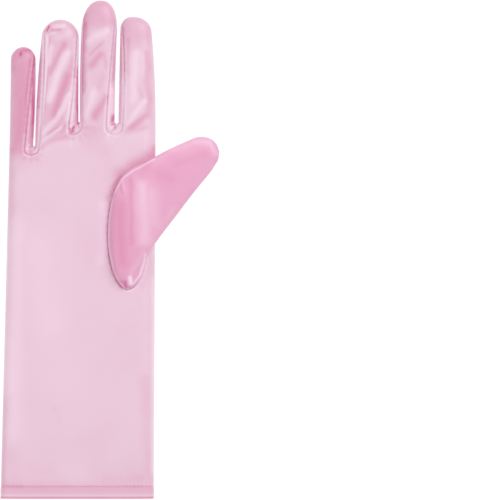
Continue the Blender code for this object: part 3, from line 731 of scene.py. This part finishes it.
def add_trank(skin, grids, columns):
    """Add the palm and back sheets, which meet along the outline, and return their faces."""
    base_row = []
    for index, grid in enumerate(grids):
        base_row += grid[0]
        if index < len(GUSSETS):
            base_row += [crotch_seam(index, step / CROTCH_STEPS) for step in range(1, CROTCH_STEPS)]
    rows = body_grid(base_row) + [base_row]
    last = len(base_row) - 1
    base = len(rows) - 1

    def body_point(side, row, column):
        side = 0 if column in (0, last) else side
        return skin.add((side, row, column), rows[row][column], side, BODY)

    def finger_point(side, index, row, column):
        outer = columns[index] + column in (0, last)
        side = 0 if outer or row == len(grids[index]) - 1 else side
        key = (side, base + row, columns[index] + column)
        return skin.add(key, grids[index][row][column], side, FINGERS[index].name)

    faces = []
    for side in (1, -1):
        for corners in grid_corners(base, last):
            faces.append([body_point(side, *corner) for corner in corners][::side])
        for index, grid in enumerate(grids):
            for corners in grid_corners(len(grid) - 1, len(grid[0]) - 1):
                faces.append([finger_point(side, index, *corner) for corner in corners][::side])
    return faces, base


def gusset_stations(notch, columns, base):
    """Edge point, seam point, row and column along a fourchette, from one fingertip to the next."""
    left_column = columns[notch] + FINGERS[notch].columns
    rows = list(enumerate(seam_rows()))
    stations = []
    for row, share in reversed(rows):
        stations.append((side_edge(notch, 1, share), side_seam(notch, 1, share), base + row, left_column))
    for step in range(1, CROTCH_STEPS):
        share = step / CROTCH_STEPS
        stations.append((crotch_edge(notch, share), crotch_seam(notch, share), base, left_column + step))
    for row, share in rows:
        stations.append((side_edge(notch + 1, -1, share), side_seam(notch + 1, -1, share), base + row,
                         columns[notch + 1]))
    return stations


def add_gusset(skin, notch, columns, base):
    """Add the strip between two fingers and return its faces."""
    stations = gusset_stations(notch, columns, base)
    shares = cross_shares()
    crosses = [(1, share) for share in shares] + [(-1, share) for share in shares[-2::-1]]
    lines = []
    for number, (edge, seam, row, column) in enumerate(stations):
        line = []
        for cross, (side, share) in enumerate(crosses):
            depth = min(cross, len(crosses) - 1 - cross)
            side = 0 if share == 0 else side
            if number in (0, len(stations) - 1) or depth == 0:
                key = (side, row + depth, column)
            else:
                key = ("gusset", notch, number, cross)
            line.append(skin.add(key, between(edge, seam, share), side, GUSSETS[notch].name))
        lines.append(line)
    faces = []
    for first, second in zip(lines, lines[1:]):
        for cross in range(len(crosses) - 1):
            faces.append([first[cross], second[cross], second[cross + 1], first[cross + 1]])
    return faces


def picture_places(plan):
    """Where plan points show in the picture, in pixels."""
    x = (plan[:, 0] + CUFF_WIDTH / 2) / PIXEL + CUFF_LEFT_X
    return np.column_stack((x, CUFF_Y - plan[:, 1] / PIXEL))


def shows(place, places):
    """Whether a fold or area of this place shows on each point."""
    own = places == place
    if place in [finger.name for finger in FINGERS]:
        own = own | (places == BODY)
    return own


def area_painted_shade(spots, places):
    """Painted shade of all areas at places in the picture."""
    x, y = spots.T
    tone = np.zeros(len(spots))
    for area in PAINTED_SHADE_AREAS:
        weight = smooth_step(x, area.left - area.border, area.left + area.border)
        weight *= 1 - smooth_step(x, area.right - area.border, area.right + area.border)
        weight *= smooth_step(y, area.top - area.border, area.top + area.border)
        weight *= 1 - smooth_step(y, area.bottom - area.border, area.bottom + area.border)
        tone += area.tone * weight * shows(area.place, places)
    return tone


def fold_fields(plan, places):
    """Height in metres of all folds at plan points, and the painted highlights and shade of the folds and
    areas. Narrow folds wander less.
    """
    spots = picture_places(plan)
    flat = np.column_stack((plan, np.zeros(len(plan))))
    wander = np.column_stack([unevenness(flat, kind) for kind in FOLD_WANDER])
    raised, sunk, bright, dark = np.zeros((4, len(plan)))
    for place, folds in FOLDS.items():
        own = shows(place, places)
        for from_x, from_y, to_x, to_y, width, height, tone in folds:
            start = np.array((from_x, from_y))
            run = np.array((to_x, to_y)) - start
            offsets = spots + wander * min(width / STEADY_WIDTH, 1) - start
            share = np.clip(offsets @ run / (run @ run), 0, 1)
            away = np.linalg.norm(offsets - share[:, None] * run, axis=1)
            weight = fading(away, width) * own
            raised = np.maximum(raised, height / 1000 * weight)
            sunk = np.minimum(sunk, height / 1000 * weight)
            bright = np.maximum(bright, tone * weight)
            dark = np.minimum(dark, tone * weight)
    return raised + sunk, bright + dark + area_painted_shade(spots, places)


def unevenness(points, kind):
    """Soft unevenness of the cloth, up and down by its amount, the same each time."""
    shift = Vector([kind.seed * step for step in SEED_STEP])
    return kind.amount * np.array([noise.noise(Vector(point) / kind.size + shift) for point in points])


def seam_lines(outline):
    """The sewn seams in space, on the palm side and on the back, each with how strongly its points show."""
    shares = np.arange(SEAM_STEPS + 1) / SEAM_STEPS
    fade = smooth_step(1 - shares, 0.0, SEAM_FADE)
    lines = []
    for notch, gusset in enumerate(GUSSETS):
        plan = [side_seam(notch, 1, share) for share in shares[::-1]]
        plan += [crotch_seam(notch, share) for share in shares]
        plan += [side_seam(notch + 1, -1, share) for share in shares]
        plan = np.array(plan)
        turn = gusset.first_seam + (gusset.second_seam - gusset.first_seam) * shares
        strength = np.concatenate((gusset.first_seam * fade[::-1], turn, gusset.second_seam * fade))
        for level in (palm_level, back_level):
            lines.append((np.column_stack((plan, level(plan, outline))), strength))
    return lines + [thumb_seam(outline)]


def thumb_seam(outline):
    """The thumb's oval seam in space, with how strongly its points show."""
    oval = np.array([oval_point(angle, 0.0) for angle in full_turn(3 * SEAM_STEPS)])
    return np.column_stack((oval, palm_level(oval, outline))), np.full(len(oval), THUMB_SEAM_STRENGTH)


def nearest_seam(points, lines):
    """For each point, the distance to the nearest seam, the place along it and how strongly it shows."""
    tree = kdtree.KDTree(sum(len(line) for line, strength in lines))
    lengths = []
    for line, strength in lines:
        steps = np.linalg.norm(np.diff(line, axis=0), axis=1)
        for spot, length in zip(line, np.concatenate(([0], np.cumsum(steps)))):
            tree.insert(spot, len(lengths))
            lengths.append(length)
    tree.balance()
    found = [tree.find(point) for point in points]
    away = np.array([hit[2] for hit in found])
    nearest = [hit[1] for hit in found]
    strengths = np.concatenate([strength for line, strength in lines])
    return away, np.array(lengths)[nearest], strengths[nearest]


def hole_centre():
    return THUMB_FROM_CENTRE, GLOVE_LENGTH - MIDDLE_FINGER - THUMB_FROM_CROTCH


def oval_point(angle, spare):
    x, y = hole_centre()
    return x - (HOLE_WIDTH / 2 + spare) * math.sin(angle), y + (HOLE_LENGTH / 2 + spare) * math.cos(angle)


def open_thumb_hole(plan, sides, faces):
    """Leave out the palm's faces inside the thumb's oval, and draw their neighbours' corners onto it."""
    centre = np.array(hole_centre())
    radii = np.array((HOLE_WIDTH / 2, HOLE_LENGTH / 2)) + SEAM_GAP
    offsets = (plan - centre) / radii
    reach = np.linalg.norm(offsets, axis=1)
    inside = (reach < 1) & (sides > 0)
    kept = [face for face in faces if not all(inside[corner] for corner in face)]
    edge = sorted({corner for face in kept for corner in face if inside[corner]})
    moved = plan.copy()
    moved[edge] = centre + offsets[edge] / reach[edge][:, None] * radii
    return moved, kept


def face_normals(points, faces):
    corners = points[np.array(faces)]
    return np.cross(corners[:, 2] - corners[:, 0], corners[:, 3] - corners[:, 1])


def point_normals(points, faces):
    table = np.array(faces)
    normals = np.zeros_like(points)
    for corner in range(4):
        np.add.at(normals, table[:, corner], face_normals(points, faces))
    return normals / np.maximum(np.linalg.norm(normals, axis=1), TINY)[:, None]


def soften(values, faces, rounds):
    """Even a field out over neighbouring points."""
    table = np.array(faces)
    weights = np.zeros(len(values))
    for corner in range(4):
        np.add.at(weights, table[:, corner], 1)
    weights = np.maximum(weights, 1)
    for _ in range(rounds):
        means = values[table].mean(axis=1)
        total = np.zeros(len(values))
        for corner in range(4):
            np.add.at(total, table[:, corner], means)
        values = total / weights
    return values


def directed_edges(faces):
    return {(a, b): number for number, face in enumerate(faces) for a, b in zip(face, face[1:] + face[:1])}


def seam_shifts(points, faces, all_edges):
    """How far each seam point of a piece steps back along the skin, so that neighbours keep a gap."""
    edges = directed_edges(faces)
    normals = face_normals(points, faces)
    inward = {}
    for (start, end), number in edges.items():
        if (end, start) in edges or (end, start) not in all_edges:
            continue
        direction = np.cross(normals[number], points[end] - points[start])
        direction /= np.linalg.norm(direction)
        inward.setdefault(start, []).append(direction)
        inward.setdefault(end, []).append(direction)
    shifts = np.zeros_like(points)
    for corner, directions in inward.items():
        total = sum(directions)
        shifts[corner] = total / max(total @ directions[0], CORNER_LIMIT) * SEAM_GAP / 2
    return shifts


def thick_piece(node, points, normals, walls, faces, shifts, tones, material):
    """Thicken a patch of skin inwards to a closed piece, which stands for its solid in the frame."""
    used = sorted({corner for face in faces for corner in face})
    place = {corner: number for number, corner in enumerate(used)}
    outer = points[used] + shifts[used]
    inner = outer - normals[used] * walls[used][:, None]
    count = len(used)
    edges = directed_edges(faces)
    solid = [[place[corner] for corner in face] for face in faces]
    solid += [[place[corner] + count for corner in reversed(face)] for face in faces]
    for start, end in edges:
        if (end, start) not in edges:
            a, b = place[start], place[end]
            solid.append([b, a, a + count, b + count])
    piece = make_piece("satin_" + node, np.vstack((outer, inner)) + frame_shift(), solid, material)
    # The tone carries painted highlights and shade, the hem's darker band and the cloth's random drift
    tone = piece.data.attributes.new("tone", "FLOAT", "POINT")
    tone.data.foreach_set("value", np.tile(tones[used], 2).astype(np.float32))
    dress(piece, node)


def add_object(name, data):
    thing = bpy.data.objects.new(name, data)
    bpy.context.collection.objects.link(thing)
    return thing


def make_piece(name, points, faces, material):
    mesh = bpy.data.meshes.new(name)
    mesh.from_pydata(points.tolist(), [], faces)
    mesh.materials.append(material)
    mesh.shade_smooth()
    mesh.set_sharp_from_angle(angle=SHARP_EDGE)
    return add_object(name, mesh)


def dress(piece, node):
    """Let a piece of cloth stand for its solid: hang it from the root and hide the solid."""
    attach(piece, "root")
    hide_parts(node)


def frame_shift():
    """The step from the glove's own measures to the frame, read from the cuff's corner of the trank."""
    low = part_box("trank")[0]
    return np.array((low.x + CUFF_WIDTH / 2, low.y, 0.0))


def hem_height(plan):
    """The hem's raised band, the groove of its stitches and the crease above it."""
    y = plan[:, 1]
    band = HEM_BAND_HEIGHT * (1 - smooth_step(y, *HEM_BAND_END))
    return band + soft_line(y, HEM_GROOVE) + soft_line(y, HEM_CREASE)


def hem_tone(plan):
    """The hem's darker band, its painted highlight line, painted shadow at the cuff's edge and painted shade
    above, and the painted shade of the puckers that its stitches draw.
    """
    x, y = plan.T
    tone = HEM_BAND_TONE * (1 - smooth_step(y, *HEM_TONE_END))
    for line in (HEM_PAINTED_HIGHLIGHT, HEM_EDGE_PAINTED_SHADOW, HEM_SHADE):
        tone += soft_line(y, line)
    slanted = x + HEM_PUCKER_SLANT * (y - STITCH_LINE)
    wander = HEM_PUCKER_WANDER * np.sin(x / HEM_PUCKER_WANDER_LENGTH)
    wave = np.sin(2 * math.pi * slanted / STITCH_PITCH + wander)
    first, second = HEM_PUCKER_BEATS
    strength = HEM_PUCKER_MEAN + np.sin(x / first) * np.sin(x / second)
    return tone + soft_line(y, HEM_PUCKER_PAINTED_SHADE) * strength * (1 + wave)


def pucker_wave(along):
    """The wave of the puckers along a seam, whose length wanders a little."""
    wander = PUCKER_WANDER * np.sin(along / PUCKER_WANDER_LENGTH)
    return np.sin(2 * math.pi * along / PUCKER_LENGTH + wander)


def seam_height(away, along):
    """The groove of a seam, its raised rims and the puckers that its thread draws."""
    puckers = soft_line(away, SEAM_PUCKERS) * pucker_wave(along)
    return soft_line(away, SEAM_GROOVE) + soft_line(away, SEAM_RIM) + puckers


def seam_painted_light(away, along):
    """The seam's painted shade line in its groove and the painted highlight beside it, which the puckers
    break up.
    """
    broken = 1 - PUCKER_SHARE + PUCKER_SHARE * pucker_wave(along)
    return soft_line(away, SEAM_PAINTED_SHADE) + soft_line(away, SEAM_PAINTED_HIGHLIGHT) * broken


def crotch_crumple(plan, places):
    """Height of the pleats just below each crotch and of the knot of gathered cloth inside it, and their
    painted highlights and shade.
    """
    height, tone = np.zeros((2, len(plan)))
    for notch, gusset in enumerate(GUSSETS):
        middle = np.array(crotch_edge(notch, 0.5))
        foot = np.array(crotch_seam(notch, 0.5))
        offsets = plan - (middle + foot * 2) / 3
        reach = np.linalg.norm(offsets, axis=1)
        angle = np.arctan2(offsets[:, 1], offsets[:, 0])
        ring = fading(reach, PLEAT_WIDTH, PLEAT_REACH) * (offsets[:, 1] < PLEAT_TOP)
        pleats = np.cos(PLEAT_COUNT * angle + notch * PLEAT_TURN) * ring
        knot = fading(reach, KNOT_WIDTH) * (places == gusset.name)
        swirl = np.sin(offsets[:, 0] / KNOT_WAVES[0] + offsets[:, 1] / KNOT_WAVES[1] + notch)
        height += PLEAT_HEIGHT * pleats + KNOT_HEIGHT * knot * swirl
        tone += PLEAT_PAINTED_LIGHT * pleats + knot * (KNOT_PAINTED_LIGHT * swirl + KNOT_SHADE)
    return height, tone


def above_floor(points):
    points[:, 2] = np.maximum(points[:, 2], 0)
    return points


def shell_patches(skin):
    """Add all points of the trank and the fourchettes to the skin, and return each piece's node and faces."""
    grids = [finger_grid(index) for index in range(len(FINGERS))]
    columns = [0]
    for finger in FINGERS[:-1]:
        columns.append(columns[-1] + finger.columns + CROTCH_STEPS)
    trank_faces, base = add_trank(skin, grids, columns)
    gussets = [(gusset.name, add_gusset(skin, notch, columns, base)) for notch, gusset in enumerate(GUSSETS)]
    return [("trank", trank_faces)] + gussets


def shell_level(plan, sides, faces, away, outline):
    """Height of the skin before its folds, with the palm's crown evened out."""
    palm = palm_level(plan, outline)
    crown = PALM_HEIGHT * CROWN_SHARE * roll_over(away / CROWN_ROLL)
    palm += (soften(crown, faces, CROWN_ROUNDS) - crown) * smooth_step(away, *CROWN_SOFTENING)
    return np.where(sides > 0, palm, np.where(sides < 0, back_level(plan, outline), BACK_HEIGHT))


def shell_relief(points, sides, places, away, outline):
    """How far the cloth's folds, swells, seams and hem stand out of the skin, and their tones: painted
    highlights and shade, and the hem's darker band.
    """
    plan = points[:, :2]
    folds, fold_painted_light = fold_fields(plan, places)
    crumple, crumple_painted_light = crotch_crumple(plan, places)
    near, along, strength = nearest_seam(points, seam_lines(outline))
    inland = smooth_step(away, *FOLD_START)
    swell = unevenness(points, BROAD_SWELL) + unevenness(points, SMALL_SWELL)
    upper = (folds + crumple + swell) * inland * (sides > 0)
    lower = (BACK_SWELL.amount + unevenness(points, BACK_SWELL)) * inland * (sides < 0)
    height = upper - lower + seam_height(near, along) * strength + hem_height(plan)
    tones = fold_painted_light * (sides >= 0) + crumple_painted_light + seam_painted_light(near, along) * strength + hem_tone(plan)
    return height, tones


def build_shell(outline, looks):
    """The trank and the fourchettes: one skin cut along its seams and thickened piece by piece."""
    skin = Skin()
    patches = shell_patches(skin)
    whole = [face for node, faces in patches for face in faces]
    sides = np.array(skin.sides)
    plan, open_faces = open_thumb_hole(np.array(skin.plan), sides, patches[0][1])
    away = edge_distance(plan, outline)
    points = np.column_stack((plan, shell_level(plan, sides, whole, away, outline)))
    height, tones = shell_relief(points, sides, np.array(skin.places), away, outline)
    normals = point_normals(points, whole)
    resting = (sides < 0) & (normals[:, 2] < RESTING_TURN)
    height = np.where(resting, np.minimum(height, 0), height)
    points = above_floor(points + normals * height[:, None])
    at_cuff = plan[:, 1] == 0
    points[at_cuff, 1] = 0
    tones += unevenness(points, TONE_DRIFT)
    normals = point_normals(points, whole)
    normals[at_cuff, 1] = 0
    walls = CLOTH + (HEM_CLOTH - CLOTH) * (1 - smooth_step(plan[:, 1], *HEM_WALL_END))
    patches[0] = ("trank", open_faces)
    all_edges = directed_edges([face for node, faces in patches for face in faces])
    for node, faces in patches:
        shifts = seam_shifts(points, faces, all_edges)
        look = looks["trank"] if node == "trank" else looks["fourchette"]
        thick_piece(node, points, normals, walls, faces, shifts, tones, look)


def thumb_place(along, across):
    ahead = np.array((math.cos(THUMB_ANGLE), math.sin(THUMB_ANGLE)))
    aside = np.array((-math.sin(THUMB_ANGLE), math.cos(THUMB_ANGLE)))
    return np.array(hole_centre()) + (ahead * along + aside * across) * THUMB_LENGTH


def thumb_ring(section):
    """One section of the thumb: the far end first, then over its top to the near end and back below."""
    top = thumb_place(section.top_along, section.top_across)
    low = thumb_place(section.low_along, section.low_across)
    half = (top - low) / 2
    back = np.array((-half[1], half[0])) / np.linalg.norm(half)
    angles = full_turn(THUMB_SIDES)
    plan = (top + low) / 2 + np.outer(fuller(np.cos(angles)), half)
    plan = plan + np.outer(np.sin(angles), back * section.lean * THUMB_LENGTH)
    level = section.under + section.rise * (1 + fuller(np.sin(angles)))
    return np.column_stack((plan, level * THUMB_LENGTH))


def fuller(values):
    """Cosines or sines made fuller, so that a flattened section keeps round ends."""
    return np.sign(values) * np.abs(values) ** THUMB_FULLNESS


def smooth_loft(rings):
    """More rings on smooth curves through the given ones."""
    rings = np.array(rings)
    gaps = np.linalg.norm(np.diff(rings, axis=0), axis=2).mean(axis=1)
    places = np.concatenate(([0], np.cumsum(np.sqrt(gaps))))
    slopes = np.empty_like(rings)
    slopes[1:-1] = (rings[2:] - rings[:-2]) / (places[2:] - places[:-2])[:, None, None]
    slopes[0] = (rings[1] - rings[0]) / (places[1] - places[0])
    slopes[-1] = (rings[-1] - rings[-2]) / (places[-1] - places[-2])
    made = []
    for number in range(len(rings) - 1):
        span = places[number + 1] - places[number]
        for step in range(THUMB_STEPS):
            t = step / THUMB_STEPS
            ahead = 3 * t ** 2 - 2 * t ** 3
            made.append(rings[number] * (1 - ahead) + rings[number + 1] * ahead
                        + slopes[number] * span * (t ** 3 - 2 * t ** 2 + t)
                        + slopes[number + 1] * span * (t ** 3 - t ** 2))
    return made + [rings[-1]]


def inside_outline(plan, outline):
    """Whether each plan point lies within the outline, by how often a line from it crosses the edge."""
    inside = np.zeros(len(plan), dtype=bool)
    for (x1, y1), (x2, y2) in zip(outline, np.roll(outline, -1, axis=0)):
        if y1 == y2:
            continue
        crosses = (y1 > plan[:, 1]) != (y2 > plan[:, 1])
        inside ^= crosses & (plan[:, 0] < x1 + (x2 - x1) * (plan[:, 1] - y1) / (y2 - y1))
    return inside


def above_palm(ring, outline):
    """Lift a ring's points clear of the palm. Its upper points rise as much as the ones below them."""
    lifted = ring.copy()
    inside = inside_outline(ring[:, :2], outline)
    palm = palm_level(ring[:, :2], outline) + THUMB_CLEARANCE
    lift = np.where(inside, np.maximum(palm - ring[:, 2], 0), 0)
    below = lift[-np.arange(len(ring))]
    lifted[:, 2] += np.maximum(lift, below)
    return lifted


def thumb_points(outline):
    """Rings of points from inside the hole's edge out to the tip, whose own point comes last."""
    oval = np.array([oval_point(angle, -SEAM_GAP) for angle in full_turn(THUMB_SIDES)])
    palm = palm_level(oval, outline)
    rings = [np.column_stack((oval, palm - CLOTH / 2)), np.column_stack((oval, palm + THUMB_CLEARANCE))]
    rings += [thumb_ring(section) for section in THUMB_SECTIONS]
    along, across, height = THUMB_TIP
    tip = np.append(thumb_place(along, across), height * THUMB_LENGTH)
    rings.append(rings[-1] * (1 - THUMB_TIP_SHARE) + tip * THUMB_TIP_SHARE)
    rings = smooth_loft(rings)
    sewn = THUMB_STEPS + 1
    return np.vstack(rings[:sewn] + [above_palm(ring, outline) for ring in rings[sewn:]] + [tip])


def tube_faces(rings, sides):
    """Faces between the neighbouring rings of a tube."""
    faces = []
    for start in range(0, (rings - 1) * sides, sides):
        for step in range(sides):
            ahead = (step + 1) % sides
            faces.append([start + step, start + ahead, start + sides + ahead, start + sides + step])
    return faces


def thumb_faces(count):
    """Faces between the thumb's rings, and round its tip, which is the last of so many points."""
    faces = tube_faces(count // THUMB_SIDES, THUMB_SIDES)
    last = count - 1 - THUMB_SIDES
    for step in range(0, THUMB_SIDES, 2):
        faces.append([last + step, last + step + 1, last + (step + 2) % THUMB_SIDES, count - 1])
    return faces


def build_thumb(outline, looks):
    """The set-in thumb: a tube from inside the hole's edge, over the palm's edge and down to the floor."""
    points = thumb_points(outline)
    faces = thumb_faces(len(points))
    normals = point_normals(points, faces)
    upper = smooth_step(normals[:, 2], *THUMB_UPPER_TURN)
    folds, tones = fold_fields(points[:, :2], np.full(len(points), THUMB))
    near = nearest_seam(points, [thumb_seam(outline)])[0]
    free = smooth_step(near, *THUMB_FOLD_START)
    height = (folds + unevenness(points, THUMB_SWELL)) * free * upper + soft_line(near, THUMB_RIM)
    points = above_floor(points + normals * height[:, None])
    # Painted highlights and shade of the thumb's folds on its upper side, a painted highlight along its rim,
    # and a random drift
    tones = tones * upper + soft_line(near, THUMB_RIM_PAINTED_HIGHLIGHT) + unevenness(points, THUMB_TONE_DRIFT)
    normals = point_normals(points, faces)
    walls = np.full(len(points), CLOTH)
    still = np.zeros_like(points)
    thick_piece("thumb", points, normals, walls, faces, still, tones, looks["thumb"])


def stitch_shape():
    """One stitch: a short round bar with blunt ends, lying along X."""
    angles = full_turn(STITCH_SIDES)
    around = np.column_stack((np.zeros(STITCH_SIDES), np.cos(angles), np.sin(angles))) * STITCH_THICKNESS / 2
    points = np.vstack([around * size + (place * STITCH_LENGTH, 0, 0) for place, size in STITCH_RINGS])
    ends = [list(range(STITCH_SIDES))[::-1], list(range(len(points) - STITCH_SIDES, len(points)))]
    return points, ends + tube_faces(len(STITCH_RINGS), STITCH_SIDES)


def placed_stitch(shape, x, level, lift, outline):
    """The stitch's points at this place across the cuff, tilted as the cloth is there."""
    ends = np.array([(x - STITCH_LENGTH / 2, STITCH_LINE), (x + STITCH_LENGTH / 2, STITCH_LINE)])
    heights = level(ends, outline) + lift
    tilt = (heights[1] - heights[0]) / STITCH_LENGTH
    turn = np.array(((1, 0, tilt), (0, 1, 0), (-tilt, 0, 1))) / math.sqrt(1 + tilt * tilt)
    turn[1] = (0, 1, 0)
    return shape @ turn + (x, STITCH_LINE, max(heights.mean(), STITCH_THICKNESS / 2))


def build_hem_stitches(outline, look):
    """A row of stitches round the hem, lying in its groove on the palm side and on the back."""
    shape, shape_faces = stitch_shape()
    points, faces = [], []
    reach = CUFF_WIDTH / 2 - STITCH_INSET
    count = int(2 * reach / STITCH_PITCH)
    for level, lift in ((palm_level, STITCH_LIFT), (back_level, -STITCH_LIFT)):
        for number in range(count):
            x = -reach + (number + 0.5) * 2 * reach / count
            faces += [[corner + len(points) * len(shape) for corner in face] for face in shape_faces]
            points.append(placed_stitch(shape, x, level, lift, outline))
    piece = make_piece("hem_stitches", np.vstack(points) + frame_shift(), faces, look)
    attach(piece, "root")


def fill_inputs(tree, node, inputs):
    """Set a node's inputs by name or number. Another node's socket is linked, anything else is a value."""
    for name, value in inputs.items():
        if isinstance(value, bpy.types.NodeSocket):
            tree.links.new(value, node.inputs[name])
        else:
            node.inputs[name].default_value = value


def add_node(tree, kind, inputs, **settings):
    """A shader node of this kind with its settings and inputs."""
    node = tree.nodes.new("ShaderNode" + kind)
    for name, value in settings.items():
        setattr(node, name, value)
    fill_inputs(tree, node, inputs)
    return node


def add_math(tree, operation, *values, use_clamp=False):
    node = add_node(tree, "Math", dict(enumerate(values)), operation=operation, use_clamp=use_clamp)
    return node.outputs[0]


def add_mix(tree, factor, first, second):
    mix = add_node(tree, "Mix", {"Factor": factor, "A": first, "B": second}, data_type="RGBA")
    return mix.outputs["Result"]


def new_group(name, inputs, outputs):
    """A node group with named number and colour sockets, and its input and output nodes."""
    group = bpy.data.node_groups.new(name, "ShaderNodeTree")
    for label, kind, value in inputs:
        socket = group.interface.new_socket(label, in_out="INPUT", socket_type=kind)
        socket.default_value = value
    for label, kind in outputs:
        group.interface.new_socket(label, in_out="OUTPUT", socket_type=kind)
    return group, group.nodes.new("NodeGroupInput"), group.nodes.new("NodeGroupOutput")


def satin_colour_group():
    """Satin's colour from its tone: painted shade deepens it in folds and seams, a painted highlight pales it
    on ridges, with a faint mottle.
    """
    inputs = (("Satin", "NodeSocketColor", SATIN), ("Painted shade", "NodeSocketColor", SATIN_PAINTED_SHADE),
              ("Painted highlight", "NodeSocketColor", SATIN_PAINTED_HIGHLIGHT), ("Mottle", "NodeSocketFloat", 0.06))
    group, start, end = new_group("satin_colour", inputs, (("Colour", "NodeSocketColor"),))
    tone = add_node(group, "Attribute", {}, attribute_name="tone")
    place = add_node(group, "TexCoord", {})
    mottle = add_node(group, "TexNoise", {"Vector": place.outputs["Object"], "Scale": 90, "Detail": 3})
    centred = add_math(group, "SUBTRACT", mottle.outputs["Fac"], 0.5)
    uneven = add_math(group, "MULTIPLY_ADD", centred, start.outputs["Mottle"], tone.outputs["Fac"])
    darker = add_math(group, "MULTIPLY", uneven, -1, use_clamp=True)
    lighter = add_math(group, "MULTIPLY", uneven, 1, use_clamp=True)
    deepened = add_mix(group, darker, start.outputs["Satin"], start.outputs["Painted shade"])
    brightened = add_mix(group, lighter, deepened, start.outputs["Painted highlight"])
    group.links.new(brightened, end.inputs["Colour"])
    return group


def satin_weave_group():
    """Satin's long floats: fine slanting threads, with a coarser unevenness, as a height and a roughness."""
    inputs = (("Threads", "NodeSocketFloat", 1500.0), ("Roughness", "NodeSocketFloat", 0.4))
    outputs = (("Height", "NodeSocketFloat"), ("Roughness", "NodeSocketFloat"))
    group, start, end = new_group("satin_weave", inputs, outputs)
    place = add_node(group, "TexCoord", {}).outputs["Object"]
    threads = add_node(group, "TexWave", {"Vector": place, "Scale": start.outputs["Threads"],
                                          "Distortion": 1.5, "Detail": 2}, bands_direction="DIAGONAL")
    slub = add_node(group, "TexNoise", {"Vector": place, "Scale": 420, "Detail": 4}).outputs["Fac"]
    height = add_math(group, "MULTIPLY_ADD", threads.outputs["Fac"], THREAD_SHARE, slub)
    uneven = add_math(group, "MULTIPLY_ADD", slub, ROUGHNESS_SPREAD, start.outputs["Roughness"])
    fill_inputs(group, end, {"Height": height, "Roughness": uneven})
    return group


def satin_look(name, groups, satin, roughness):
    """A satin finish of its own colour and roughness, from the shared colour and weave groups."""
    look = bpy.data.materials.new(name)
    look.use_nodes = True
    tree = look.node_tree
    shades = {"Satin": satin, "Painted shade": SATIN_PAINTED_SHADE, "Painted highlight": SATIN_PAINTED_HIGHLIGHT}
    colour = add_node(tree, "Group", shades, node_tree=groups["colour"])
    weave = add_node(tree, "Group", {"Roughness": roughness}, node_tree=groups["weave"])
    relief = {"Strength": 0.25, "Distance": 0.00012, "Height": weave.outputs["Height"]}
    bump = add_node(tree, "Bump", relief)
    fill_inputs(tree, tree.nodes["Principled BSDF"], {
        "Base Color": colour.outputs["Colour"],
        "Roughness": weave.outputs["Roughness"],
        "Normal": bump.outputs["Normal"],
        "Metallic": 0.0,
        "Sheen Weight": 0.10,
        "Sheen Roughness": 0.4,
        "Specular IOR Level": 0.55,
    })
    return look


def make_looks():
    groups = {"colour": satin_colour_group(), "weave": satin_weave_group()}
    return {
        "trank": satin_look("satin_trank", groups, SATIN, SATIN_ROUGHNESS),
        "fourchette": satin_look("satin_fourchette", groups, SATIN, SATIN_ROUGHNESS),
        # The thumb is the same satin, its colour deepened as painted shade
        "thumb": satin_look("satin_thumb", groups, THUMB_SATIN_PAINTED_SHADE, THUMB_ROUGHNESS),
        "thread": satin_look("hem_thread", groups, THREAD, THREAD_ROUGHNESS),
    }


def make_floor():
    look = bpy.data.materials.new("floor_white")
    look.use_nodes = True
    fill_inputs(look.node_tree, look.node_tree.nodes["Principled BSDF"], {
        "Base Color": FLOOR_GREY,
        "Emission Color": WHITE,
        "Emission Strength": FLOOR_GLOW,
        "Roughness": 0.9,
        "Specular IOR Level": 0.1,
    })
    corners = np.array(((-1, -1, 0), (1, -1, 0), (1, 1, 0), (-1, 1, 0))) * FLOOR_REACH - (0, 0, FLOOR_DROP)
    floor = make_piece("floor", corners, [(0, 1, 2, 3)], look)


def make_light(name, place, size, power):
    """A soft square light that points at the frame's origin."""
    data = bpy.data.lights.new(name, "AREA")
    data.shape = "SQUARE"
    data.size = size
    data.energy = power
    light = add_object(name, data)
    light.location = place
    light.rotation_euler = (-Vector(place)).to_track_quat("-Z", "Y").to_euler()


def make_lights():
    world = bpy.data.worlds.new("studio")
    world.use_nodes = True
    sky = world.node_tree.nodes["Background"]
    fill_inputs(world.node_tree, sky, {"Color": WHITE, "Strength": SKY_STRENGTH})
    bpy.context.scene.world = world
    make_light("key_light", place=(0.9, 0.9, 1.6), size=1.2, power=16.0)
    make_light("fill_light", place=(-1.1, -0.5, 1.5), size=1.4, power=7.0)


def make_camera():
    """A camera straight above, framed as the picture is, with the glove in its left half."""
    data = bpy.data.cameras.new("camera")
    data.lens = 600
    data.sensor_width = 36
    data.sensor_fit = "AUTO"
    shift = frame_shift()
    centre_x = (PICTURE_WIDTH / 2 - CUFF_LEFT_X) * PIXEL - CUFF_WIDTH / 2 + shift[0]
    centre_y = (CUFF_Y - PICTURE_HEIGHT / 2) * PIXEL + shift[1]
    distance = PICTURE_HEIGHT * PIXEL * data.lens / data.sensor_width
    camera = add_object("camera", data)
    camera.location = (centre_x, centre_y, distance + BACK_HEIGHT)
    bpy.context.scene.camera = camera


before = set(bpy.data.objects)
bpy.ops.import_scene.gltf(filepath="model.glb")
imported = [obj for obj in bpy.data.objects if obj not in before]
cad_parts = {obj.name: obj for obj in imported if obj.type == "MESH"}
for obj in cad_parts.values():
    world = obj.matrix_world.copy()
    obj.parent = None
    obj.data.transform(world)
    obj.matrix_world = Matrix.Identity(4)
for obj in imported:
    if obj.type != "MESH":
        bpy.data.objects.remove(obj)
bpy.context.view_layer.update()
bpy.context.scene.view_settings.view_transform = "Standard"
make_camera()
make_lights()
make_floor()
looks = make_looks()
outline = outline_points()
build_shell(outline, looks)
build_thumb(outline, looks)
build_hem_stitches(outline, looks["thread"])
